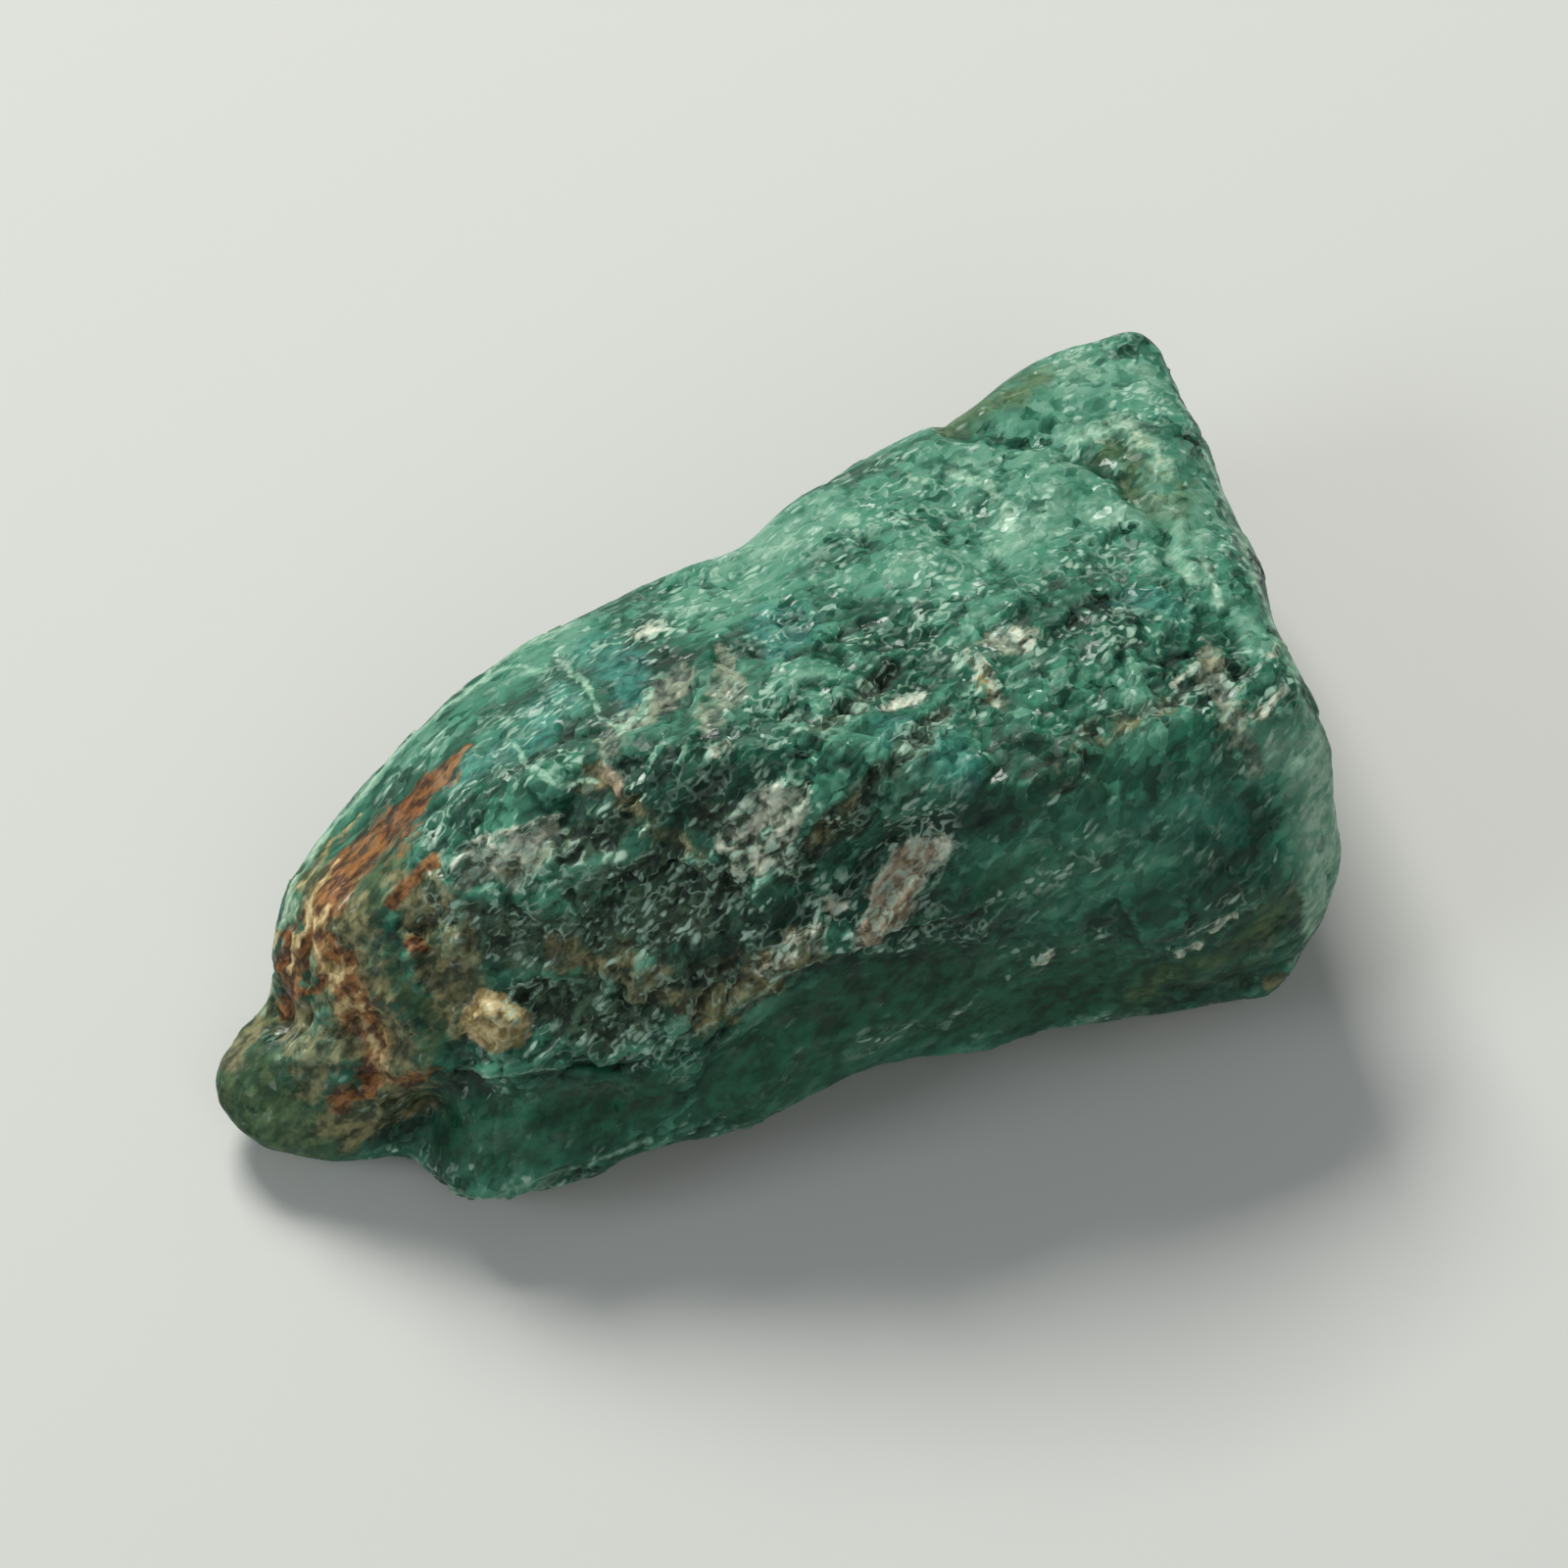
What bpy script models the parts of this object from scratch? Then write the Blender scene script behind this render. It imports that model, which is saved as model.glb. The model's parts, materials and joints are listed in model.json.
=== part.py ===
"""Rough amazonite: one chip broken from green feldspar, about 39 mm long, lying on its small flat spot.

The stone is a single solid. +X runs along its length from the worn nose to the snapped end, +Y towards
its low back, +Z up, and the origin is on the surface under the middle of its box. The plain block of
broken faces is made first, and its relief is then carved: cleavage steps, a crust that ends in a ledge,
scoops, pits and the grains that stand proud.
"""

import math

import bmesh
import bpy
from mathutils import Vector, noise

MM = 0.001

# Corners where the broken faces meet, in millimetres (x, y, z).
NOSE = [
    (-17.4, 3.2, 5.4), (-15.5, 5.6, 6.3), (-19.6, 2.8, 3.0), (-19.1, -0.3, 1.9), (-15.0, -6.0, 2.4),
    (-18.9, 3.2, 1.4), (-18.0, 0.2, 0.9), (-15.5, 6.2, 2.2), (-14.0, -4.0, 0.7),
]
BACK_RIM = [
    (-13.1, 7.5, 7.0), (-9.5, 8.5, 8.0), (-6.3, 9.0, 9.0), (-2.6, 8.9, 10.0), (0.7, 8.4, 10.5),
    (6.0, 8.5, 11.0), (9.0, 9.0, 11.0), (11.7, 9.0, 10.5), (17.0, 9.7, 10.0), (19.1, 9.0, 9.5),
]
SNAPPED_END = [
    (17.2, 4.2, 11.0), (16.1, -1.1, 12.0), (15.3, -5.7, 13.0), (15.8, -7.8, 11.0),
    (15.3, -10.1, 7.0), (14.2, -10.9, 5.0), (12.4, -11.5, 3.0),
]
FRONT_EDGE = [(8.0, -9.5, 2.0), (3.3, -7.5, 1.5), (-5.1, -6.2, 1.5), (-8.7, -6.0, 2.0)]
CREST = [(5.9, -6.0, 14.5), (0.3, -1.8, 15.5), (-5.4, 0.5, 15.0), (-9.9, 2.7, 12.5), (-14.2, 3.2, 9.5)]
FRONT_SHOULDER = [
    (-11.5, -2.4, 8.2), (-5.5, -4.4, 9.8), (0.4, -5.8, 10.6), (6.5, -8.2, 10.4), (12.0, -10.3, 9.8),
]
UNDERCUT = [
    (-9.0, 9.5, 3.0), (3.0, 11.0, 4.5), (13.0, 11.5, 4.0), (18.5, 9.5, 3.0),
    (18.4, 5.0, 4.0), (17.0, -3.0, 3.5), (14.6, -8.2, 2.0),
]
FOOT = [(-4.0, -3.0, -0.4), (9.0, -5.0, -0.4), (12.0, 2.0, -0.4), (6.0, 7.5, -0.4), (-5.0, 6.0, -0.4)]

GRID = 0.75  # spacing of the surface that carries the relief

# Broad swells and the sugary lumps of the broken feldspar: (wavelength, height).
SWELLS = [(9.0, 0.50), (4.0, 0.36), (1.9, 0.22)]

# Cleavage: the feldspar parts in sheets that run along the stone, so its faces break in low steps.
SHEET_NORMAL = Vector((0.10, 0.80, 0.59))
SHEET_THICKNESS = 2.6
STEP_HEIGHT = 0.45

# The rough crust ends in a ledge above the smooth lower front face: (x, z) along the ledge.
LEDGE_LINE = [(-17.0, 4.6), (-13.6, 6.0), (-6.4, 6.4), (-3.0, 8.2), (1.0, 9.4), (9.0, 9.6)]
LEDGE_DEPTH = 0.75
LEDGE_FADE = (1.0, 8.0)  # x where the ledge starts to die out, and where it is gone

# Hollows and lumps: (centre, radii along the stone, across it and up, depth; a lump's is negative).
HOLLOWS = [
    ((-7.0, 1.0, 14.6), (3.0, 1.3, 2.0), 0.9),  # long dark hollow by the crest
    ((1.0, -5.0, 12.4), (3.4, 1.6, 1.6), 0.7),  # second hollow, above the proud crystal
    ((-14.6, 0.0, 6.2), (2.2, 1.6, 1.6), 0.5),  # broken nose
    ((-16.8, -3.2, 2.2), (1.5, 1.9, 2.0), 1.3),  # notch between the nose and the front lobe
    ((-18.3, 4.3, 4.4), (1.6, 1.6, 1.2), 0.7),  # dip where the crust ends at the nose
    ((-1.0, -6.9, 1.5), (5.5, 2.0, 2.5), 1.0),  # scoop out of the front's lower edge
    ((8.6, 9.0, 10.8), (1.8, 1.5, 1.5), 0.4),  # dip in the back rim
    ((17.4, 1.6, 11.6), (1.6, 2.2, 1.4), 0.35),  # chip out of the snapped end
    ((10.0, 12.0, 6.0), (6.0, 3.0, 4.0), 0.9),  # shell-shaped scar low on the back
    ((-8.0, 10.0, 4.5), (4.5, 2.5, 3.0), 0.7),  # second scar behind the nose
    ((19.6, 0.0, 6.0), (2.0, 5.0, 3.4), 0.8),  # scar on the snapped end
    ((-12.2, -3.4, 6.9), (1.3, 1.3, 1.3), -0.55),  # tan nodule
    ((2.6, -7.0, 9.6), (2.3, 1.2, 1.1), -0.40),  # proud pale crystal
    ((-9.6, 1.0, 12.4), (1.9, 1.1, 1.1), -0.30),  # pale cluster beside the long hollow
]


def broken_block():
    """The plain block of broken faces, as one convex mesh in millimetres."""
    bm = bmesh.new()
    upper = NOSE + BACK_RIM + SNAPPED_END + CREST + FRONT_SHOULDER
    for corner in upper + FRONT_EDGE + UNDERCUT + FOOT:
        bm.verts.new(corner)
    hull = bmesh.ops.convex_hull(bm, input=bm.verts)
    inner = [v for v in hull["geom_interior"] if isinstance(v, bmesh.types.BMVert)]
    bmesh.ops.delete(bm, geom=inner, context="VERTS")
    bmesh.ops.recalc_face_normals(bm, faces=bm.faces)
    return bm


def even_surface(bm, spacing):
    """The same shape with evenly spaced points, its corners worn round by about that spacing."""
    mesh = bpy.data.meshes.new("block")
    bm.to_mesh(mesh)
    bm.free()
    block = bpy.data.objects.new("block", mesh)
    bpy.context.scene.collection.objects.link(block)
    remesh = block.modifiers.new("even", "REMESH")
    remesh.mode = "VOXEL"
    remesh.voxel_size = spacing
    remesh.adaptivity = 0.0
    bpy.context.view_layer.update()
    even = bmesh.new()
    even.from_object(block, bpy.context.evaluated_depsgraph_get())
    bpy.data.objects.remove(block)
    bpy.data.meshes.remove(mesh)
    return even


def smoothstep(low, high, value):
    """0 below low, 1 above high, and a smooth rise between them."""
    share = min(1.0, max(0.0, (value - low) / (high - low)))
    return share * share * (3.0 - 2.0 * share)


def swell(point):
    """Height of the broad swells and lumps."""
    height = 0.0
    for wavelength, size in SWELLS:
        height += size * noise.noise(point / wavelength + Vector((wavelength, 0.0, 0.0)))
    return height


def cleavage_step(point, normal):
    """Height of the low steps that the sheets leave, least where a face lies flat along a sheet."""
    wander = 0.9 * noise.noise(point / 6.0) + 0.35 * noise.noise(point / 2.2)
    level = point.dot(SHEET_NORMAL) / SHEET_THICKNESS + wander
    share = level - math.floor(level)
    ramp = share - smoothstep(0.75, 1.0, share)
    across = 1.0 - abs(normal.dot(SHEET_NORMAL))
    patchy = smoothstep(-0.25, 0.35, noise.noise(point / 7.5 + Vector((3.1, 0.0, 0.0))))
    return STEP_HEIGHT * ramp * patchy * (0.35 + 0.65 * across)


def ledge_height(x):
    """Height of the ledge at x, along the line's own points."""
    if x <= LEDGE_LINE[0][0]:
        return LEDGE_LINE[0][1]
    for (x0, z0), (x1, z1) in zip(LEDGE_LINE, LEDGE_LINE[1:]):
        if x <= x1:
            return z0 + (z1 - z0) * (x - x0) / (x1 - x0)
    return LEDGE_LINE[-1][1]


def ledge_step(point, normal):
    """How far the smooth lower front face lies behind the crust."""
    ragged = 0.8 * noise.noise(point / 2.5) + 0.3 * noise.noise(point / 1.0)
    below = smoothstep(-0.5, 0.5, ledge_height(point.x) + ragged - point.z)
    front = smoothstep(0.15, 0.55, -normal.y)
    fade = 1.0 - smoothstep(*LEDGE_FADE, point.x)
    return -LEDGE_DEPTH * below * front * fade


def hollow_depth(point):
    """Depth of all the hollows at a point; each is a ragged ellipsoid that fades to nothing at its rim."""
    depth = 0.0
    for centre, radii, most in HOLLOWS:
        offset = point - Vector(centre)
        reach = math.sqrt(sum((d / r) ** 2 for d, r in zip(offset, radii)))
        if reach < 1.4:
            depth += most * (1.0 - smoothstep(0.45, 1.15, reach + 0.25 * noise.noise(point / 1.3)))
    return depth


def carve(bm):
    """Moves every point along its normal by the relief."""
    bm.normal_update()
    moves = []
    for vert in bm.verts:
        point, normal = vert.co, vert.normal
        height = swell(point) + cleavage_step(point, normal) + ledge_step(point, normal) - hollow_depth(point)
        moves.append(normal * height)
    for vert, move in zip(bm.verts, moves):
        vert.co += move


def stand_on_foot(bm):
    """Cuts the flat spot that the stone rests on at z = 0, and closes it."""
    whole = bm.verts[:] + bm.edges[:] + bm.faces[:]
    bmesh.ops.bisect_plane(bm, geom=whole, dist=1e-5, plane_co=(0, 0, 0), plane_no=(0, 0, 1), clear_inner=True)
    rim = [edge for edge in bm.edges if edge.is_boundary]
    bmesh.ops.triangle_fill(bm, edges=rim, use_beauty=True)
    bmesh.ops.triangulate(bm, faces=bm.faces[:])
    bmesh.ops.recalc_face_normals(bm, faces=bm.faces)


def centre_over_origin(bm):
    """Puts the middle of the stone's box over the origin, and its points in metres."""
    for axis in (0, 1):
        places = [vert.co[axis] for vert in bm.verts]
        middle = (min(places) + max(places)) / 2
        for vert in bm.verts:
            vert.co[axis] -= middle
        print("centred axis", axis, "by", round(middle, 3), "mm")
    bmesh.ops.scale(bm, vec=(MM, MM, MM), verts=bm.verts)


def green_feldspar():
    """Teal feldspar, dull on its worn breaks."""
    material = bpy.data.materials.new("green_feldspar")
    material.use_nodes = True
    shader = material.node_tree.nodes["Principled BSDF"]
    shader.inputs["Base Color"].default_value = (0.07, 0.20, 0.14, 1.0)
    shader.inputs["Roughness"].default_value = 0.5
    shader.inputs["Metallic"].default_value = 0.0
    return material


def main():
    """Builds the stone as the scene's only object."""
    for obj in list(bpy.data.objects):
        bpy.data.objects.remove(obj)
    bm = even_surface(broken_block(), GRID)
    carve(bm)
    stand_on_foot(bm)
    centre_over_origin(bm)
    mesh = bpy.data.meshes.new("amazonite")
    bm.to_mesh(mesh)
    bm.free()
    mesh.materials.append(green_feldspar())
    stone = bpy.data.objects.new("amazonite", mesh)
    bpy.context.scene.collection.objects.link(stone)
    print(len(mesh.polygons), "triangles")


main()
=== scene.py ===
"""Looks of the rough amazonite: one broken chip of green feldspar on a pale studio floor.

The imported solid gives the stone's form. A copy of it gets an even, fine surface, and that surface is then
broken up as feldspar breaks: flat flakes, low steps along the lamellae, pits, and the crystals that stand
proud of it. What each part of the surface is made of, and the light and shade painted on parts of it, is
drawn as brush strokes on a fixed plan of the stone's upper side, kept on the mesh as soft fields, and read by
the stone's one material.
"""

import json
import logging
import math
from dataclasses import dataclass, field
from enum import Enum
from typing import Any

import bmesh
import bpy
import numpy as np
from mathutils import Matrix, Vector, noise

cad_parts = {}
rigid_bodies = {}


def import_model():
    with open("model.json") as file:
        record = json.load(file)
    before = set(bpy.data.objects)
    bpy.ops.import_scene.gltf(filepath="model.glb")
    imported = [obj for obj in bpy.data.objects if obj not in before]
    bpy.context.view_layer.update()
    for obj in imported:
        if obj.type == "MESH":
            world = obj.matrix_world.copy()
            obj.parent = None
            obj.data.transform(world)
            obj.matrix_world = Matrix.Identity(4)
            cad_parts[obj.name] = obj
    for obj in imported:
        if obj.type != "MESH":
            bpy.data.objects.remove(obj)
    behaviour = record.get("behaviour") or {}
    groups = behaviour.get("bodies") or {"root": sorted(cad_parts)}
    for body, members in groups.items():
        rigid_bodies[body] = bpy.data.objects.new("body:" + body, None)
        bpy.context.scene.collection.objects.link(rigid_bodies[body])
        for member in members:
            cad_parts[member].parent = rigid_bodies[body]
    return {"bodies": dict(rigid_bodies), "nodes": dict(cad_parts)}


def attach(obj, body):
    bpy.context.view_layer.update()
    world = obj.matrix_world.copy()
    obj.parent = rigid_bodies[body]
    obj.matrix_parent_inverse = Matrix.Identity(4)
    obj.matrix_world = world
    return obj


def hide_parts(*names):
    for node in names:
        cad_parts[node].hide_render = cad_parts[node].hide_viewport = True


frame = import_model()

MM = 0.001
NODE = "amazonite"
BODY = "root"

log = logging.getLogger("amazonite")


class Mark(Enum):
    """What a patch of the surface is made of, and for some marks the light and shade painted on it; the value
    is the name of its field on the mesh.
    """

    RUST = "rust"
    TAN = "tan"
    PINK = "pink"
    WHITE = "white"
    GREY = "grey"
    DARK = "dark"
    DEEP = "deep"
    BLUE = "blue"
    BRIGHT = "bright"
    OLIVE = "olive"
    BROWN = "brown"
    # painted highlights along rims and edges
    RIM_LIGHT = "rim"
    SMOOTH = "smooth"


@dataclass(frozen=True)
class Stroke:
    """A patch as a brush stroke on the plan.

    Args:
        weight: How solid the patch is; under 1 its rim frays more.
        points: Where the stroke passes, as (across, up, radius) in mm.
    """

    weight: float
    points: tuple[tuple[float, float, float], ...]


@dataclass(frozen=True)
class Patches:
    """All the patches of one mark.

    Args:
        wild: How much of the undrawn side the mark's patches of noise take, from 0 to 1.
        strokes: Its patches on the drawn side.
    """

    wild: float
    strokes: tuple[Stroke, ...]


# The marks, in the order that their noises are drawn in.
PATCHES: dict[Mark, Patches] = {
    Mark.RUST: Patches(0.13, (
        # streak parallel to the back rim
        Stroke(1.0, (
            (-10.5, 1.1, 0.14), (-11.3, 0.3, 0.28), (-12.1, -0.5, 0.38), (-12.9, -1.2, 0.5),
            (-13.8, -2.0, 0.58), (-14.7, -2.8, 0.52),
        )),
        Stroke(0.8, (
            (-13.2, -1.6, 0.8), (-14.2, -2.6, 0.8), (-15.1, -3.6, 0.6), (-15.8, -4.8, 0.5),
            (-16.3, -6.2, 0.4), (-16.6, -7.6, 0.34),
        )),
        # loop at the nose
        Stroke(0.9, (
            (-16.4, -4.8, 0.18), (-16.7, -6.0, 0.22), (-16.3, -7.0, 0.18), (-15.5, -6.9, 0.2),
            (-15.0, -6.0, 0.26), (-15.2, -5.1, 0.26), (-15.9, -4.4, 0.22),
        )),
        # veins down the nose
        Stroke(1.0, ((-15.2, -5.0, 0.28), (-14.8, -6.2, 0.34), (-14.3, -7.3, 0.42), (-14.0, -8.2, 0.38))),
        Stroke(0.78, (
            (-14.6, -6.0, 0.6), (-14.0, -7.5, 0.7), (-13.5, -8.8, 0.6), (-14.1, -10.0, 0.5),
            (-14.8, -10.8, 0.4),
        )),
        Stroke(0.85, ((-11.7, -2.6, 0.26), (-12.5, -3.3, 0.28), (-13.0, -3.9, 0.22))),
        Stroke(0.8, ((-12.4, -5.2, 0.26), (-11.8, -5.6, 0.24))),
        Stroke(0.62, ((-13.4, -9.5, 0.4), (-12.2, -9.9, 0.36), (-11.3, -9.5, 0.26))),
    )),
    Mark.TAN: Patches(0.1, (
        # nodule
        Stroke(1.15, ((-9.6, -7.8, 0.74), (-9.3, -8.0, 0.74))),
        # mottled nose
        Stroke(0.5, ((-15.8, -4.0, 0.9), (-15.2, -5.8, 1.1), (-14.1, -7.8, 1.2), (-13.2, -9.4, 1.0))),
        # cream crust by the veins
        Stroke(0.65, ((-16.5, -6.2, 0.16), (-16.1, -4.8, 0.18), (-15.5, -3.6, 0.18), (-14.8, -2.5, 0.15))),
        # by the top corner
        Stroke(0.6, ((11.4, 12.0, 0.3), (12.0, 11.3, 0.5), (12.6, 10.6, 0.4))),
        # rim over the nose
        Stroke(0.54, ((-16.8, -5.4, 0.18), (-16.3, -3.8, 0.2), (-15.4, -2.4, 0.16), (-14.0, -1.0, 0.12))),
        Stroke(0.7, ((6.4, 3.5, 0.4), (6.8, 3.1, 0.4))),
        Stroke(0.54, ((-1.4, -6.5, 0.4), (-0.4, -5.8, 0.56), (0.6, -5.0, 0.44))),
    )),
    Mark.PINK: Patches(0.04, (
        # long pale crystal
        Stroke(1.1, ((2.8, -4.9, 0.34), (3.4, -3.9, 0.46), (4.1, -2.9, 0.52), (4.7, -2.2, 0.4))),
        Stroke(0.75, ((-5.9, 0.6, 0.3), (-5.5, -0.2, 0.36))),
    )),
    Mark.WHITE: Patches(0.16, (
        Stroke(0.75, ((6.2, 4.1, 0.34), (7.3, 2.6, 0.3))),
        Stroke(0.66, ((-0.8, -6.2, 0.4), (0.2, -5.4, 0.46), (1.0, -4.6, 0.36))),
        # pale rim of the crystal
        Stroke(0.95, ((2.6, -5.1, 0.46), (3.3, -4.0, 0.62), (4.1, -2.9, 0.72), (4.9, -2.0, 0.6))),
        Stroke(0.8, ((7.6, 5.0, 0.34), (8.2, 4.5, 0.36))),
        # flake cluster
        Stroke(0.9, (
            (-2.0, -1.8, 0.5), (-1.0, -1.1, 0.8), (0.1, -0.5, 0.7), (-0.4, -2.2, 0.7), (-1.4, -2.6, 0.5),
        )),
        # rim of the grey lens
        Stroke(0.9, (
            (-10.8, -2.9, 0.2), (-10.3, -2.1, 0.24), (-9.4, -1.5, 0.22), (-8.3, -1.3, 0.18),
            (-7.5, -1.1, 0.16),
        )),
        Stroke(1.0, ((-4.8, 4.9, 0.26), (-3.9, 5.2, 0.26))),
        Stroke(1.0, ((-2.4, 1.0, 0.2), (-1.8, 1.3, 0.18))),
        # slivers at the snapped end
        Stroke(1.0, ((16.1, 4.4, 0.14), (16.7, 4.9, 0.14))),
        Stroke(1.0, ((15.7, 2.3, 0.16), (16.6, 3.0, 0.14))),
        Stroke(0.74, ((12.8, 3.3, 0.15), (13.7, 3.9, 0.15))),
        Stroke(0.9, ((3.5, 2.6, 0.24), (4.5, 3.0, 0.22))),
        Stroke(1.0, ((8.2, -5.9, 0.13), (9.0, -5.6, 0.13))),
        Stroke(0.95, ((12.8, -5.6, 0.12), (13.8, -5.2, 0.12))),
        Stroke(0.95, ((14.3, -4.7, 0.11), (15.0, -4.2, 0.11))),
        # cream nodule
        Stroke(0.9, ((1.4, -3.9, 0.38), (1.8, -4.0, 0.36))),
        Stroke(0.9, ((-10.1, -2.6, 0.36), (-9.2, -2.2, 0.56), (-8.2, -1.7, 0.44))),
        Stroke(0.72, ((-9.6, -2.9, 0.4), (-8.6, -2.4, 0.46), (-7.9, -1.8, 0.3))),
    )),
    Mark.GREY: Patches(0.3, (
        Stroke(0.8, ((7.1, 4.7, 0.56), (8.0, 4.7, 0.64))),
        # lens
        Stroke(1.0, ((-10.4, -3.3, 0.4), (-9.4, -2.8, 0.7), (-8.4, -2.2, 0.7), (-7.6, -1.6, 0.4))),
        Stroke(0.8, ((-2.4, 2.2, 0.6), (-1.7, 3.3, 0.6), (-2.0, 4.4, 0.4))),
        Stroke(0.75, ((-5.8, 1.2, 0.5), (-4.4, 2.4, 0.6), (-3.4, 3.6, 0.6))),
        Stroke(0.7, ((14.0, 4.5, 0.6), (14.8, 2.5, 0.8), (15.6, 0.5, 0.7))),
    )),
    Mark.DARK: Patches(0.34, (
        Stroke(0.75, ((-2.4, -1.0, 0.9), (-1.0, -2.2, 1.0), (0.6, -2.8, 0.8))),
        # long hollow
        Stroke(1.1, ((-7.0, -2.3, 0.46), (-6.0, -1.6, 0.6), (-5.0, -0.8, 0.4))),
        # second hollow
        Stroke(1.1, ((1.1, -2.1, 0.4), (1.8, -1.3, 0.56), (2.6, -0.3, 0.48), (3.3, 0.7, 0.28))),
        # rough crust
        Stroke(0.9, (
            (-10.2, -4.8, 0.8), (-8.0, -5.2, 1.2), (-5.8, -5.0, 1.6), (-3.2, -4.0, 1.6), (-1.8, -3.2, 1.0),
        )),
        Stroke(0.9, ((-8.2, -7.2, 0.9), (-5.8, -7.6, 1.2), (-2.8, -6.6, 1.0))),
        Stroke(0.8, ((-7.0, -3.6, 0.8), (-4.0, -2.5, 0.8))),
        Stroke(0.85, ((1.0, 1.8, 0.4), (2.3, 2.6, 0.5), (3.5, 3.7, 0.4))),
        Stroke(0.9, ((3.6, 0.6, 0.4), (4.5, 1.4, 0.4), (5.4, 2.4, 0.3))),
        # brown seams by the snapped end
        Stroke(0.62, ((8.0, 0.3, 0.5), (9.5, 1.1, 0.6), (11.5, 2.1, 0.7), (13.1, 2.9, 0.5))),
        Stroke(0.5, ((7.0, -1.5, 0.4), (8.5, -0.8, 0.5), (10.5, 0.2, 0.5))),
        Stroke(0.8, ((-12.2, -5.0, 0.5), (-11.4, -4.2, 0.6))),
    )),
    # Deep green of the smooth feldspar; on the lower front it is also painted shade, where the stone lies in
    # shadow.
    Mark.DEEP: Patches(0.32, (
        # clear teal by the snapped end
        Stroke(0.62, ((11.8, -1.6, 0.9), (13.4, -1.3, 1.3), (14.9, -1.5, 0.9))),
        # smooth lower front, darkened as painted shade
        Stroke(1.0, (
            (-1.8, -10.3, 1.0), (0.8, -8.6, 1.5), (3.2, -7.4, 1.5), (5.8, -7.0, 1.3), (8.5, -6.8, 1.2),
            (11.5, -6.5, 1.0),
        )),
        # front lobe
        Stroke(0.9, ((-10.7, -11.6, 1.2), (-8.8, -12.0, 1.4), (-6.7, -11.2, 1.2), (-4.4, -10.4, 0.8))),
        Stroke(0.7, ((6.5, -3.5, 0.8), (9.0, -2.5, 0.8))),
        Stroke(0.46, ((6.5, -0.3, 0.9), (9.0, 0.4, 1.0), (11.5, 0.9, 0.9))),
    )),
    Mark.BLUE: Patches(0.24, (
        Stroke(0.74, ((12.0, -1.5, 0.8), (13.5, -1.2, 1.1), (14.8, -1.4, 0.8))),
        Stroke(0.9, ((-11.2, 0.1, 0.4), (-10.3, 0.6, 0.44))),
        Stroke(0.72, ((-9.7, 0.8, 0.6), (-8.3, 1.8, 0.8), (-7.2, 3.0, 0.7))),
        Stroke(0.9, ((-6.4, 4.4, 0.7), (-5.3, 3.8, 0.76), (-4.8, 2.5, 0.6))),
        Stroke(0.9, ((-0.6, 5.4, 0.6), (0.5, 5.2, 0.7), (-0.2, 4.4, 0.5))),
        Stroke(0.9, ((3.6, 1.8, 0.8), (5.0, 1.4, 0.8), (6.0, 0.3, 0.6))),
        Stroke(0.8, ((11.5, 6.2, 0.6), (13.0, 5.6, 0.6))),
    )),
    # A paler cleavage face, and painted light: the tone lifts the upper face and the snapped end's margin as
    # if they were lit.
    Mark.BRIGHT: Patches(0.34, (
        # sugary upper face, paler feldspar with painted light on it
        Stroke(1.0, (
            (-0.4, 7.8, 1.0), (1.5, 9.3, 1.2), (3.5, 9.8, 1.6), (5.8, 10.0, 1.8), (8.0, 9.5, 2.0),
            (10.5, 8.8, 1.8), (12.2, 9.0, 1.2),
        )),
        Stroke(0.9, ((-3.0, 5.8, 0.8), (-0.5, 6.6, 1.0), (2.5, 7.0, 1.4), (6.0, 6.8, 1.2))),
        # top corner
        Stroke(0.9, ((7.5, 12.8, 1.0), (9.8, 13.5, 1.2), (11.8, 13.4, 1.0))),
        # margin of the snapped end, lightened as painted light
        Stroke(1.3, ((16.7, 1.0, 0.9), (17.5, -0.6, 1.0), (17.8, -2.4, 0.8))),
        Stroke(0.7, ((13.4, 10.0, 0.8), (14.4, 7.5, 0.8), (15.6, 5.0, 0.6))),
        Stroke(0.54, ((-12.5, 1.0, 0.8), (-10.0, 2.8, 0.8), (-7.0, 4.8, 0.6))),
    )),
    Mark.OLIVE: Patches(0.28, (
        Stroke(0.8, ((5.1, 12.0, 0.5), (6.8, 12.7, 0.6), (8.5, 13.5, 0.5))),
        Stroke(0.6, ((10.6, 11.4, 0.8), (12.2, 10.6, 0.9), (13.4, 9.8, 0.6))),
        Stroke(0.85, ((-13.5, -2.5, 1.0), (-14.8, -4.5, 1.0))),
        # low corner
        Stroke(0.62, ((16.8, -4.0, 0.9), (15.4, -5.2, 1.1), (13.4, -6.3, 0.9), (11.6, -7.0, 0.6))),
        # nose lump
        Stroke(1.0, ((-18.0, -9.8, 1.1), (-16.7, -11.2, 1.3), (-14.8, -11.8, 0.8))),
        Stroke(0.8, ((-15.4, -2.2, 0.6), (-15.8, -3.5, 0.6))),
        Stroke(0.7, ((-13.0, -6.5, 0.8), (-11.4, -7.8, 0.7), (-11.8, -9.0, 0.6))),
        Stroke(0.7, ((11.5, 10.0, 0.7), (13.0, 9.0, 0.7))),
    )),
    Mark.BROWN: Patches(0.26, (
        Stroke(0.9, ((16.1, -6.5, 0.26), (16.7, -6.3, 0.22))),
        Stroke(0.95, ((-17.4, -6.6, 0.6), (-17.9, -7.8, 0.7), (-18.3, -8.9, 0.6))),
        Stroke(0.85, ((-16.4, -7.6, 0.9), (-15.6, -8.8, 1.0), (-15.7, -10.0, 0.7))),
        # brown crust of the nose
        Stroke(0.85, (
            (-15.4, -3.5, 1.2), (-14.8, -5.5, 1.6), (-13.8, -7.8, 1.7), (-12.8, -9.8, 1.4),
            (-14.5, -11.2, 1.1),
        )),
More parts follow.
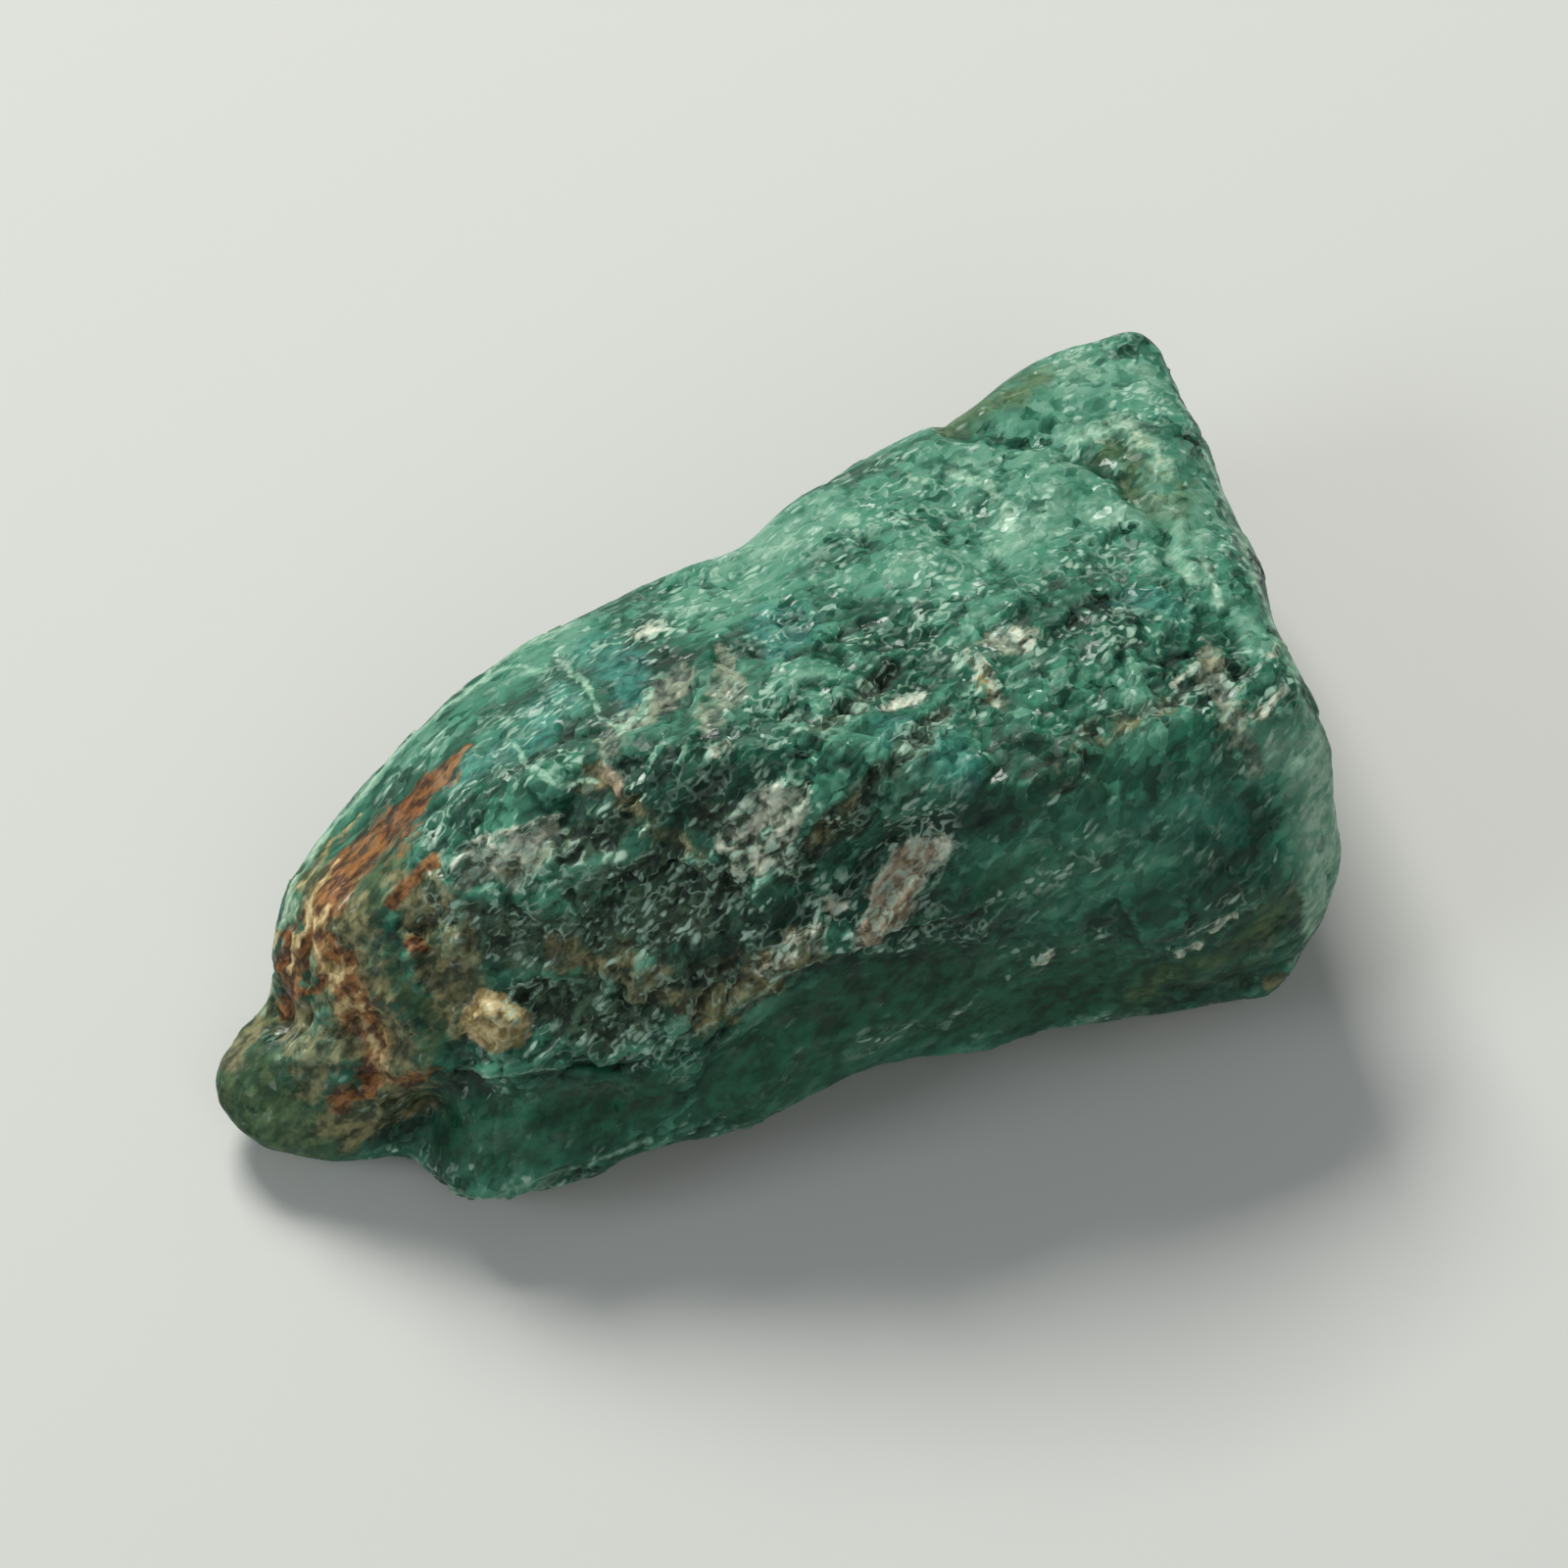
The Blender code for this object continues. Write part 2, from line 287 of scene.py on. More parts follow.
        Stroke(0.95, ((-12.2, -3.5, 1.0), (-11.2, -5.5, 1.1), (-10.6, -7.2, 1.0))),
        # brown rough patch
        Stroke(0.8, ((-2.4, -7.6, 0.9), (-0.8, -6.5, 1.0), (0.8, -5.3, 0.8))),
        Stroke(0.66, ((-7.4, -5.8, 0.9), (-5.0, -6.2, 1.0), (-3.4, -7.2, 0.8))),
        Stroke(0.62, ((-6.2, 0.4, 0.7), (-4.6, -1.0, 0.8), (-3.2, -2.2, 0.6))),
        Stroke(0.46, ((8.2, 0.5, 0.6), (10.5, 1.4, 0.7), (13.0, 2.6, 0.6))),
        Stroke(0.6, ((1.2, -1.8, 0.5), (2.5, -0.4, 0.5))),
        Stroke(0.5, ((13.8, 4.8, 0.6), (14.8, 3.4, 0.7), (16.0, 2.4, 0.5))),
        Stroke(0.6, ((-9.8, -3.2, 0.5), (-8.7, -2.6, 0.5))),
    )),
    # Painted highlights: pale light along rims, edges and the ledge's lip and on flakes, and a painted glow
    # of light through the thin clear rims.
    Mark.RIM_LIGHT: Patches(0.0, (
        # painted highlights on the flakes by the top corner
        Stroke(0.82, ((9.6, 11.6, 0.3), (11.3, 12.0, 0.4), (12.0, 11.4, 0.54), (12.8, 10.4, 0.44))),
        Stroke(0.74, ((7.3, 9.3, 0.26), (7.6, 8.4, 0.36), (7.1, 7.8, 0.26))),
        Stroke(0.78, ((5.5, 10.3, 0.16), (6.8, 9.9, 0.2), (7.7, 9.1, 0.18))),
        Stroke(0.62, ((1.4, 9.3, 0.34), (2.3, 8.4, 0.26))),
        Stroke(0.72, ((13.0, 7.8, 0.3), (13.6, 6.6, 0.36))),
        Stroke(0.8, ((14.0, 7.2, 0.22), (14.5, 6.0, 0.24))),
        # painted glow of light through the thin clear rim of the back edge
        Stroke(0.76, (
            (-16.6, -4.8, 0.16), (-16.1, -2.8, 0.18), (-15.1, -1.5, 0.18), (-13.9, -0.1, 0.18),
            (-12.5, 1.3, 0.18), (-11.2, 2.6, 0.16), (-10.0, 3.6, 0.16), (-8.4, 4.7, 0.14),
            (-6.8, 5.5, 0.14),
        )),
        # painted glow of light through the thin clear rim of the snapped end
        Stroke(0.8, (
            (13.8, 11.4, 0.14), (14.7, 9.3, 0.16), (15.9, 6.0, 0.18), (17.2, 3.2, 0.2), (17.6, 1.4, 0.46),
            (17.8, -0.6, 0.72), (17.8, -2.5, 0.64), (17.4, -4.8, 0.34),
        )),
        Stroke(0.96, ((17.7, 0.4, 0.5), (17.9, -1.0, 0.64), (17.8, -2.4, 0.56))),
        # painted highlights along curved breaks near the back edge
        Stroke(0.78, ((-9.0, 1.4, 0.12), (-8.4, 0.5, 0.13), (-7.3, 0.0, 0.13), (-6.3, 0.1, 0.12))),
        Stroke(0.78, (
            (-7.3, 4.0, 0.12), (-6.4, 3.1, 0.13), (-6.2, 2.1, 0.12), (-5.4, 1.5, 0.14), (-4.6, 2.3, 0.13),
            (-4.3, 3.3, 0.11),
        )),
        Stroke(0.74, ((-10.7, 3.3, 0.12), (-9.2, 3.7, 0.12), (-7.8, 3.6, 0.12))),
        # painted highlight along the lower edge of the front lobe
        Stroke(0.62, (
            (-12.4, -12.3, 0.14), (-11.3, -13.4, 0.16), (-10.3, -13.8, 0.16), (-8.5, -13.4, 0.14),
            (-6.7, -12.7, 0.12), (-4.5, -11.8, 0.12),
        )),
        # painted highlight along the lip of the ledge
        Stroke(0.58, (
            (-10.6, -9.7, 0.12), (-7.0, -9.5, 0.12), (-2.7, -8.3, 0.16), (-1.0, -7.3, 0.16),
            (0.8, -5.8, 0.16),
        )),
    )),
    Mark.SMOOTH: Patches(0.24, (
        # calm front near the snapped end
        Stroke(1.0, ((6.0, -1.2, 1.6), (9.5, -3.0, 2.4), (13.5, -1.5, 2.4), (16.5, -1.5, 2.0))),
        Stroke(0.9, ((11.5, 1.0, 1.4), (15.0, 1.8, 1.4))),
        # calm back edge
        Stroke(0.9, (
            (-15.5, -3.5, 0.8), (-13.2, -0.2, 1.4), (-10.5, 2.2, 1.8), (-7.5, 3.8, 2.0), (-4.5, 4.8, 1.6),
        )),
        # nose lump
        Stroke(1.0, ((-18.0, -9.5, 1.4), (-16.5, -11.0, 1.6), (-14.5, -12.0, 1.0))),
        # top corner
        Stroke(0.85, ((7.0, 12.4, 0.8), (9.5, 13.2, 1.2), (11.8, 13.4, 1.2), (13.0, 11.5, 1.0))),
        # calm snapped end
        Stroke(1.0, (
            (14.2, 10.5, 0.8), (15.2, 8.2, 1.0), (16.0, 6.2, 0.9), (17.0, 3.8, 1.0), (17.8, 2.0, 1.0),
        )),
    )),
}

# Two lines on the plan: the ledge where the crust ends above the smooth lower front, and the crease below
# the top corner.
LEDGE = (
    (-13.6, -9.5), (-12.0, -9.6), (-10.5, -9.8), (-2.7, -9.0),
    (0.4, -6.0), (2.2, -5.2), (6.0, -4.4), (9.0, -3.0),
)
LEDGE_FADE = (5.5, 9.6)  # how far across the plan the ledge starts to die out, and where it is gone
CREASE = ((5.3, 11.8), (7.3, 11.7), (9.5, 11.2), (11.2, 10.1), (12.4, 8.7), (12.9, 7.4))
FAR = 99.0  # mm, for a point that no line is near

# The relief along the two lines, in mm. Of the ledge: its height, the width of its face, and how far below it
# the drop fades. Of its lip: its height, how far above the ledge it runs, and its width. Of the crease: its
# depth and its width.
LEDGE_DROP = (0.34, 0.22, 2.2)
LEDGE_LIP = (0.10, 0.25, 0.35)
CREASE_FOLD = (0.34, 0.30)

# Noise that makes the patches of the undrawn side: (wavelength in mm, share, seed of the first mark, and how
# far the next mark's seed is from it).
WILD = ((3.4, 1.0, 20.0, 7.3), (1.2, 0.45, 40.0, 5.1))

# How the rims of patches wander: (wavelength and shift in mm, seeds for across and up).
WANDER = ((1.6, 0.30, (3.0, 8.0)), (0.6, 0.12, (5.0, 11.0)))

# How proud a point stands of its surroundings: (name of the field, rounds of smoothing that make the
# surroundings, height in mm at which the field is full).
# The material reads these fields as painted highlights on proud points and painted shade in hollows and pits.
EDGES = (("fine_edge", 3, 0.045), ("broad_edge", 40, 0.22))

# Keys that turn the middle of a break into four chances of its own.
HASH_KEYS = np.array(
    [[12.9898, 78.233, 37.719], [39.346, 11.135, 83.155], [73.156, 52.235, 9.151], [26.6, 95.1, 61.7]]
)
HASH_SPREAD = 4375.85


@dataclass(frozen=True)
class Tug:
    """A place where the stone's rim is drawn in or out, level with the floor.

    Args:
        place: Where it is on the plan, in mm.
        shift: How far it goes across and up the plan, in mm.
        reach: How far round that place it is felt, in mm.
    """

    place: tuple[float, float]
    shift: tuple[float, float]
    reach: float


TUGS = (
    Tug((-17.0, -7.5), (1.00, -0.30), 1.1),  # dip above the nose lump
    Tug((-16.5, -3.4), (-0.42, 0.20), 1.6),  # swell of the iron-stained nose
    Tug((-6.8, 5.4), (0.12, -0.24), 3.0),  # back rim, flatter
    Tug((-1.8, 7.6), (0.34, -0.70), 2.2),
    Tug((5.5, 12.0), (0.12, -0.26), 1.5),
    Tug((11.8, 14.7), (0.36, 0.66), 2.8),  # top corner, sharper
    Tug((14.2, 11.4), (0.30, 0.10), 2.0),
    Tug((11.0, -7.8), (-0.06, 0.42), 3.2),  # front foot, further in
    Tug((3.0, -9.6), (-0.12, 0.36), 3.0),
    Tug((-12.2, -12.2), (0.50, 1.40), 1.3),  # notch between the nose and the front lobe
)


@dataclass(frozen=True)
class Plan:
    """A fixed plan of the stone's upper side, drawn from one point above its front left.

    Args:
        centre: The point in the middle of the plan, in mm.
        azimuth: Where the drawing point stands, in degrees turned from the front.
        elevation: How high it stands, in degrees.
        distance: How far it stands from the centre, in mm.
        lamellae: The angle on the plan along which the feldspar's lamellae run, in degrees.
        drawn: How far a face looks towards the drawing point, as a cosine, where drawing starts to hold
            and from where it holds fully.
        edge_on: How far a face looks towards or away from it where the stone is still worn round as it is
            at its rim, and where it is no longer.
    """

    centre: tuple[float, float, float] = (3.28, 5.27, 0.0)
    azimuth: float = -30.0
    elevation: float = 60.0
    distance: float = 280.0
    lamellae: float = 47.0
    drawn: tuple[float, float] = (-0.30, -0.05)
    edge_on: tuple[float, float] = (0.20, 0.60)

    def axes(self) -> np.ndarray:
        """Gives the plan's directions.

        Returns:
            Three rows: across the plan, up the plan, and towards the drawing point.
        """
        back = towards(self.azimuth, self.elevation)
        across = (math.cos(math.radians(self.azimuth)), math.sin(math.radians(self.azimuth)), 0.0)
        return np.array([across, np.cross(back, across), back])

    def lamellar_axes(self) -> np.ndarray:
        """Gives the feldspar's own directions.

        Returns:
            Three rows: along the lamellae, across them, and out of the plan.
        """
        across, up, back = self.axes()
        c, s = math.cos(math.radians(self.lamellae)), math.sin(math.radians(self.lamellae))
        return np.array([c * across + s * up, c * up - s * across, back])

    def lamellar(self, points: np.ndarray, draw: float) -> np.ndarray:
        """Measures points along the feldspar's own directions, drawn out along the lamellae.

        Args:
            points: The points, one a row, in mm.
            draw: How many times a pattern is drawn out.

        Returns:
            The places, one a row, in mm.
        """
        return points @ self.lamellar_axes().T / np.array([draw, 1.0, 1.0])

    def project(self, points: np.ndarray) -> np.ndarray:
        """Finds where points lie on the plan.

        Args:
            points: The points, one a row, in mm.

        Returns:
            Two rows: how far across and how far up each point lies, in mm.
        """
        across, up, depth = self.axes() @ (points - np.array(self.centre)).T
        scale = self.distance / (self.distance - depth)
        return np.array([across * scale, up * scale])

    def facing(self, normals: np.ndarray) -> np.ndarray:
        """Says how far each normal belongs to the drawn side, from 0 to 1."""
        return smoothstep(*self.drawn, normals @ self.axes()[2])

    def skirting(self, normals: np.ndarray) -> np.ndarray:
        """Says how far each normal lies edge on to the plan, from 0 to 1."""
        return 1.0 - smoothstep(*self.edge_on, np.abs(normals @ self.axes()[2]))


def towards(azimuth: float, elevation: float) -> tuple[float, float, float]:
    """Points from the stone to a place given in degrees: turned from the front, and up from the floor."""
    a, e = math.radians(azimuth), math.radians(elevation)
    return math.sin(a) * math.cos(e), -math.cos(a) * math.cos(e), math.sin(e)


def put_in_scene(name: str, data: bpy.types.ID) -> bpy.types.Object:
    """Makes an object of a mesh, a lamp's light or a camera, and links it to the scene.

    Args:
        name: The object's name.
        data: What it is made of.

    Returns:
        The object.
    """
    made = bpy.data.objects.new(name, data)
    bpy.context.scene.collection.objects.link(made)
    return made


def finished(bm: bmesh.types.BMesh, name: str) -> bpy.types.Mesh:
    """Turns a bmesh into a mesh and frees it.

    Args:
        bm: The bmesh.
        name: The mesh's name.

    Returns:
        The mesh.
    """
    mesh = bpy.data.meshes.new(name)
    bm.to_mesh(mesh)
    bm.free()
    return mesh


def rows_of(parts: bpy.types.bpy_prop_collection, name: str, width: int, kind: type = float) -> np.ndarray:
    """Reads one property of a mesh's points or edges.

    Args:
        parts: The points or edges.
        name: The property.
        width: How many values it has.
        kind: What kind of number they are.

    Returns:
        The values, a row for each point or edge.
    """
    flat = np.empty(len(parts) * width, dtype=kind)
    parts.foreach_get(name, flat)
    return flat.reshape(-1, width)


def smoothstep(low: float, high: float, value: np.ndarray) -> np.ndarray:
    """Rises smoothly from 0 at low to 1 at high.

    Args:
        low: Where the rise starts.
        high: Where it ends.
        value: The values to look up.

    Returns:
        The height of the rise at each value.
    """
    share = np.clip((value - low) / (high - low), 0.0, 1.0)
    return share * share * (3.0 - 2.0 * share)


def noise_at(points: np.ndarray, wavelength: float, seed: float = 0.0) -> np.ndarray:
    """Reads smooth noise.

    Args:
        points: The points, one a row, in mm.
        wavelength: The size of the noise's lumps, in mm.
        seed: A shift that makes one noise differ from another.

    Returns:
        A value from -1 to 1 for each point.
    """
    return np.array([noise.noise(Vector(p)) for p in points / wavelength + seed])


def cloud_at(points: np.ndarray, wavelength: float, seed: float) -> np.ndarray:
    """Reads cloudy noise, with lumps down to a sixteenth of the wavelength.

    Args:
        points: The points, one a row, in mm.
        wavelength: The size of the largest lumps, in mm.
        seed: A shift that makes one noise differ from another.

    Returns:
        A value from about -1 to 1 for each point.
    """
    return np.array([noise.fractal(Vector(p), 0.85, 2.0, 5) for p in points / wavelength + seed])


@dataclass(frozen=True)
class Facets:
    """One size of the small flat breaks that cut the surface and meet in crisp ridges.

    Args:
        size: How large a break is, in mm.
        step: How much the breaks differ in depth, in mm.
        tilt: How steeply they lean, as rise over run.
        seed: A shift that makes one set of breaks differ from another.
    """

    size: float
    step: float
    tilt: float
    seed: float

    def heights(self, points: np.ndarray) -> np.ndarray:
        """Works out how deep the breaks cut.

        Args:
            points: The points, one a row, in mm.

        Returns:
            The height of each point, in mm: that of the lowest of the four nearest breaks.
        """
        shifted = points / self.size + self.seed
        middles = np.array([[tuple(middle) for middle in noise.voronoi(Vector(p))[1]] for p in shifted])
        offsets = (shifted[:, None, :] - middles) * self.size
        chances = np.mod(np.sin(middles @ HASH_KEYS.T) * HASH_SPREAD, 1.0) * 2.0 - 1.0
        heights = self.step * chances[:, :, 3] + self.tilt * (offsets * chances[:, :, :3]).sum(axis=2)
        lowest = heights.min(axis=1)
        return lowest - lowest.mean()


@dataclass(frozen=True)
class Growth:
    """How one mark stands out of the surface, or lies back in it.

    Args:
        mark: The mark.
        rise: How high it stands, in mm.
        blocks: How much of the crystals' blocky relief it shows.
        low: The value of its field where it starts.
        high: The value from which it is whole.
    """

    mark: Mark
    rise: float
    blocks: float
    low: float = 0.38
    high: float = 0.56


def from_leg(places: np.ndarray, start: tuple[float, ...], end: tuple[float, ...]) -> tuple[np.ndarray, ...]:
    """Measures from one straight leg on the plan.

    Args:
        places: Where the points lie on the plan, as two rows.
        start: Where the leg starts.
        end: Where it ends.

    Returns:
        How far along the leg, from 0 to 1, the nearest place to each point lies, how far the point is from
        there, and on which side, 1 for above and -1 for below.
    """
    u, v = places
    du, dv = end[0] - start[0], end[1] - start[1]
    share = np.clip(((u - start[0]) * du + (v - start[1]) * dv) / (du * du + dv * dv), 0.0, 1.0)
    gone_u, gone_v = u - start[0] - share * du, v - start[1] - share * dv
    return share, np.hypot(gone_u, gone_v), np.where(du * gone_v - dv * gone_u < 0.0, -1.0, 1.0)


def path_side(places: np.ndarray, path: tuple[tuple[float, float], ...]) -> np.ndarray:
    """Measures from a path on the plan.

    Args:
        places: Where the points lie on the plan, as two rows.
        path: The path's points, from left to right.

    Returns:
        The distance of each point from the path, negative below it.
    """
    best = np.full(places.shape[1], FAR)
    for start, end in zip(path, path[1:]):
        _, away, side = from_leg(places, start, end)
        best = np.where(away < np.abs(best), away * side, best)
    return best


def stroke_field(places: np.ndarray, stroke: Stroke) -> np.ndarray:
    """Draws one stroke.

    Args:
        places: Where the points lie on the plan, as two rows.
        stroke: The stroke.

    Returns:
        1 along the stroke's middle, 0.5 at its radius, 0 from twice its radius, all times its weight.
    """
    nearest = np.full(places.shape[1], FAR)
    for start, end in zip(stroke.points, stroke.points[1:]):
        share, away, _ = from_leg(places, start, end)
        nearest = np.minimum(nearest, away / (start[2] + (end[2] - start[2]) * share))
    return np.clip(1.0 - 0.5 * nearest, 0.0, 1.0) * stroke.weight


def linear(colour: str) -> tuple[float, float, float, float]:
    """Turns an sRGB hex colour into linear light.

    Args:
        colour: The colour, such as "#548470".

    Returns:
        Red, green, blue and an alpha of 1.
    """
    parts = [int(colour[i : i + 2], 16) / 255.0 for i in (1, 3, 5)]
    light = [c / 12.92 if c <= 0.04045 else ((c + 0.055) / 1.055) ** 2.4 for c in parts]
    return (*light, 1.0)


@dataclass
class RoughStone:
    """The stone's finely broken surface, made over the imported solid.

    The seeds in its methods only keep one noise from being like another.

    Args:
        plan: The plan that the marks are drawn on.
        grid: Spacing of the fine surface, in mm.
        reach: How far any relief may stand out of the box that the drawn-out rim fills, in mm.
        breaks: The flat breaks of the whole surface, from flakes to single grains.
        blocks: The blocky breaks of the crystals.
        growths: How each mark stands proud or lies back.
        mark_draw: How many times the patches of noise are drawn out along the lamellae.
        break_draw: How many times the flat breaks and the sheets' steps are.
        flat_rough: How much of the relief plain feldspar shows.
        crust_rough: How much more the crust and the pale crystals show.
        bright_even: How much less the bright cleavage face shows.
        worn_calm: The share of it that is worn away where the stone is smooth.
        deep_even: How much less the smooth lower front shows.
        rough_range: The least and the most that any place shows.
        swell: The wavelength and height of the broad swells, in mm.
        sheet: How thick the feldspar's sheets are, in mm.
        sheet_lean: How much they lean out of the plan.
        sheet_wander: How far they wander, in sheets.
        sheet_step: How high a step they leave, in mm.

    Attributes:
        points: Where the surface's points are, in mm.
        normals: The direction that each of them faces.
        edges: The two points that each edge joins.
        fields: The soft fields, by their names.
        seams: The height that the plan's two lines give each point, in mm.
    """

    plan: Plan = field(default_factory=Plan)
    grid: float = 0.17
    reach: float = 0.35
    breaks: tuple[Facets, ...] = (
        Facets(3.0, 0.16, 0.20, 1.0),
        Facets(1.3, 0.08, 0.28, 9.0),
        Facets(0.62, 0.03, 0.26, 17.0),
    )
    blocks: Facets = Facets(0.8, 0.8, 0.6, 31.0)
    growths: tuple[Growth, ...] = (
        Growth(Mark.PINK, 0.22, 0.0, 0.40, 0.62),
        Growth(Mark.TAN, 0.45, 0.0, 0.50, 1.0),
        Growth(Mark.TAN, 0.0, 0.13, 0.50, 0.70),
        Growth(Mark.WHITE, 0.08, 0.10),
        Growth(Mark.GREY, -0.10, 0.10, 0.42, 0.62),
        Growth(Mark.DARK, -0.22, 0.16, 0.40, 0.75),
        Growth(Mark.RUST, -0.04, 0.07),
    )
    mark_draw: float = 2.2
    break_draw: float = 1.6
    flat_rough: float = 0.62
    crust_rough: float = 0.38
    bright_even: float = 0.32
    worn_calm: float = 0.82
    deep_even: float = 0.50
    rough_range: tuple[float, float] = (0.08, 1.1)
    swell: tuple[float, float] = (2.8, 0.10)
    sheet: float = 1.15
    sheet_lean: float = 0.30
    sheet_wander: float = 0.8
    sheet_step: float = 0.16
    points: np.ndarray = field(init=False)
    normals: np.ndarray = field(init=False)
    edges: np.ndarray = field(init=False)
    fields: dict[str, np.ndarray] = field(init=False, default_factory=dict)
    seams: np.ndarray = field(init=False)

    def build(self, node: bpy.types.Object) -> bpy.types.Object:
        """Makes the stone.

        Args:
            node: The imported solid.

        Returns:
            The finished piece.
        """
        piece = self.even_copy(node)
        self.read(piece.data)
        self.fit_rim()
        self.draw_marks()
        self.break_surface()
        self.write(piece.data)
        return piece

    def even_copy(self, node: bpy.types.Object) -> bpy.types.Object:
        """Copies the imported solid, joins its loose triangles and gives it an even, fine surface.

        Args:
            node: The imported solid.

        Returns:
            The copy, in mm.
        """
        bm = bmesh.new()
        bm.from_mesh(node.data)
        bmesh.ops.remove_doubles(bm, verts=bm.verts, dist=1e-6)
        bmesh.ops.scale(bm, vec=(1.0 / MM,) * 3, verts=bm.verts)
        coarse = finished(bm, "coarse")
        holder = put_in_scene("coarse", coarse)
        rounded = holder.modifiers.new("rounded", "SUBSURF")
        rounded.levels = rounded.render_levels = 1
        even = holder.modifiers.new("even", "REMESH")
        even.mode = "VOXEL"
        even.voxel_size = self.grid
        bpy.context.view_layer.update()
        fine = bmesh.new()
        fine.from_object(holder, bpy.context.evaluated_depsgraph_get())
        bpy.data.objects.remove(holder)
        bpy.data.meshes.remove(coarse)
        axes = {"use_axis_x": True, "use_axis_y": True, "use_axis_z": True}
        for _ in range(2):
            bmesh.ops.smooth_vert(fine, verts=fine.verts, factor=0.5, **axes)
        bmesh.ops.triangulate(fine, faces=fine.faces)
        return put_in_scene("rough_stone", finished(fine, "rough_stone"))

    def read(self, mesh: bpy.types.Mesh) -> None:
        """Reads the fine surface into arrays, in mm.

        Args:
            mesh: The even copy's mesh.
        """
        self.points = rows_of(mesh.vertices, "co", 3)
        self.normals = rows_of(mesh.vertices, "normal", 3)
        self.edges = rows_of(mesh.edges, "vertices", 2, np.int64)

    def fit_rim(self) -> None:
        """Draws the stone's rim in or out at each tug."""
        across, up, _ = self.plan.axes()
        level = up * (1.0, 1.0, 0.0)
        level /= level @ up
        u, v = self.plan.project(self.points)
        for tug in TUGS:
            near = np.exp(-((u - tug.place[0]) ** 2 + (v - tug.place[1]) ** 2) / tug.reach**2)
            self.points += near[:, None] * (tug.shift[0] * across + tug.shift[1] * level)

    def averaged(self, values: np.ndarray, rounds: int) -> np.ndarray:
        """Spreads values over the surface.

        Args:
            values: One value or one row for each point.
            rounds: How many times each point takes the mean of its neighbours.

        Returns:
            The smoothed values.
        """
        first, second = self.edges.T
        size = len(values)
        count = np.bincount(self.edges.ravel(), minlength=size).astype(float)
        flat = values.reshape(size, -1).copy()
        for _ in range(rounds):
            for column in flat.T:
                total = np.bincount(first, column[second], size) + np.bincount(second, column[first], size)
                column[:] = total / count
        return flat.reshape(values.shape)

    def wandered(self, places: np.ndarray) -> np.ndarray:
        """Shifts places on the plan a little, so that nothing drawn there has a straight rim.

        Args:
            places: Where the points lie on the plan, as two rows.

        Returns:
            The shifted places.
        """
        for wavelength, shift, seeds in WANDER:
            places = places + shift * np.array([noise_at(self.points, wavelength, seed) for seed in seeds])
        return places

    def draw_marks(self) -> None:
        """Fills the soft field of every mark: strokes on the drawn side, patches of noise on the rest."""
        places = self.wandered(self.plan.project(self.points))
        seen = self.plan.facing(self.averaged(self.normals, 12))
        lamellar = self.plan.lamellar(self.points, self.mark_draw)
        for number, (mark, patches) in enumerate(PATCHES.items()):
            drawn = np.zeros(len(seen))
            for stroke in patches.strokes:
                drawn = np.maximum(drawn, stroke_field(places, stroke))
            rough = np.zeros(len(seen))
            for wavelength, share, seed, step in WILD:
                rough += share * noise_at(lamellar, wavelength, seed + step * number)
            wild = np.clip(0.5 + 1.1 * (rough - 0.75 + 1.2 * patches.wild), 0.0, 1.0)
            self.fields[mark.value] = seen * drawn + (1.0 - seen) * wild
        self.fields["cloud"] = 0.5 + 0.42 * cloud_at(lamellar, 2.6, 90.0)
        # How thickly the painted glints crowd.
        self.fields["crowd"] = 0.5 + 0.40 * cloud_at(lamellar, 1.7, 95.0)
        self.seams = self.seam_relief(places, seen)

    def seam_relief(self, places: np.ndarray, seen: np.ndarray) -> np.ndarray:
        """Works out the relief along the two lines of the plan.

        Args:
            places: Where the points lie on the plan, as two rows.
            seen: How far each point belongs to the drawn side.

        Returns:
            The height that the ledge, its lip and the crease give each point, in mm.
        """
        ledge, crease = (np.where(seen > 0.0, path_side(places, path), FAR) for path in (LEDGE, CREASE))
        height, face, fading = LEDGE_DROP
        drop = -height * smoothstep(0.0, face, -ledge) * np.exp(np.minimum(ledge, 0.0) / fading)
        height, above, width = LEDGE_LIP
        lip = height * np.exp(-(((ledge - above) / width) ** 2))
        depth, width = CREASE_FOLD
        fold = depth * np.exp(-((crease / width) ** 2))
        return (1.0 - smoothstep(*LEDGE_FADE, places[0])) * (drop + lip) - fold

    def solid(self, mark: Mark, low: float, high: float) -> np.ndarray:
        """Says where a mark is solid, from 0 to 1, with a crisp rim between low and high."""
        return smoothstep(low, high, self.fields[mark.value])

    def break_surface(self) -> None:
        """Moves every point along its normal by the relief of the broken feldspar."""
        lamellar = self.plan.lamellar(self.points, self.break_draw)
        calm = self.wear_down()
        crust = np.maximum(self.solid(Mark.DARK, 0.25, 0.60), self.solid(Mark.WHITE, 0.25, 0.60))
        bright = self.solid(Mark.BRIGHT, 0.20, 0.60)
        smooth = np.maximum(self.solid(Mark.DEEP, 0.30, 0.60), 0.8 * self.solid(Mark.OLIVE, 0.35, 0.60))
        rough = self.flat_rough + self.crust_rough * crust - self.bright_even * bright
        rough = np.clip(rough * (1.0 - self.worn_calm * calm) - self.deep_even * smooth, *self.rough_range)
        height = rough * self.plain_relief(lamellar) + (self.crystals() + self.seams) * (1.0 - 0.6 * calm)
        # The flat spot that it rests on stays flat.
        foot = smoothstep(0.05, 0.8, self.points[:, 2]) + smoothstep(-0.97, -0.80, self.normals[:, 2])
        height *= np.clip(foot, 0.0, 1.0)
        low, high = self.points.min(axis=0), self.points.max(axis=0)
        moved = np.clip(self.points + self.normals * height[:, None], low - self.reach, high + self.reach)
        moved[:, 2] = np.maximum(moved[:, 2], 0.0)
        self.points = moved

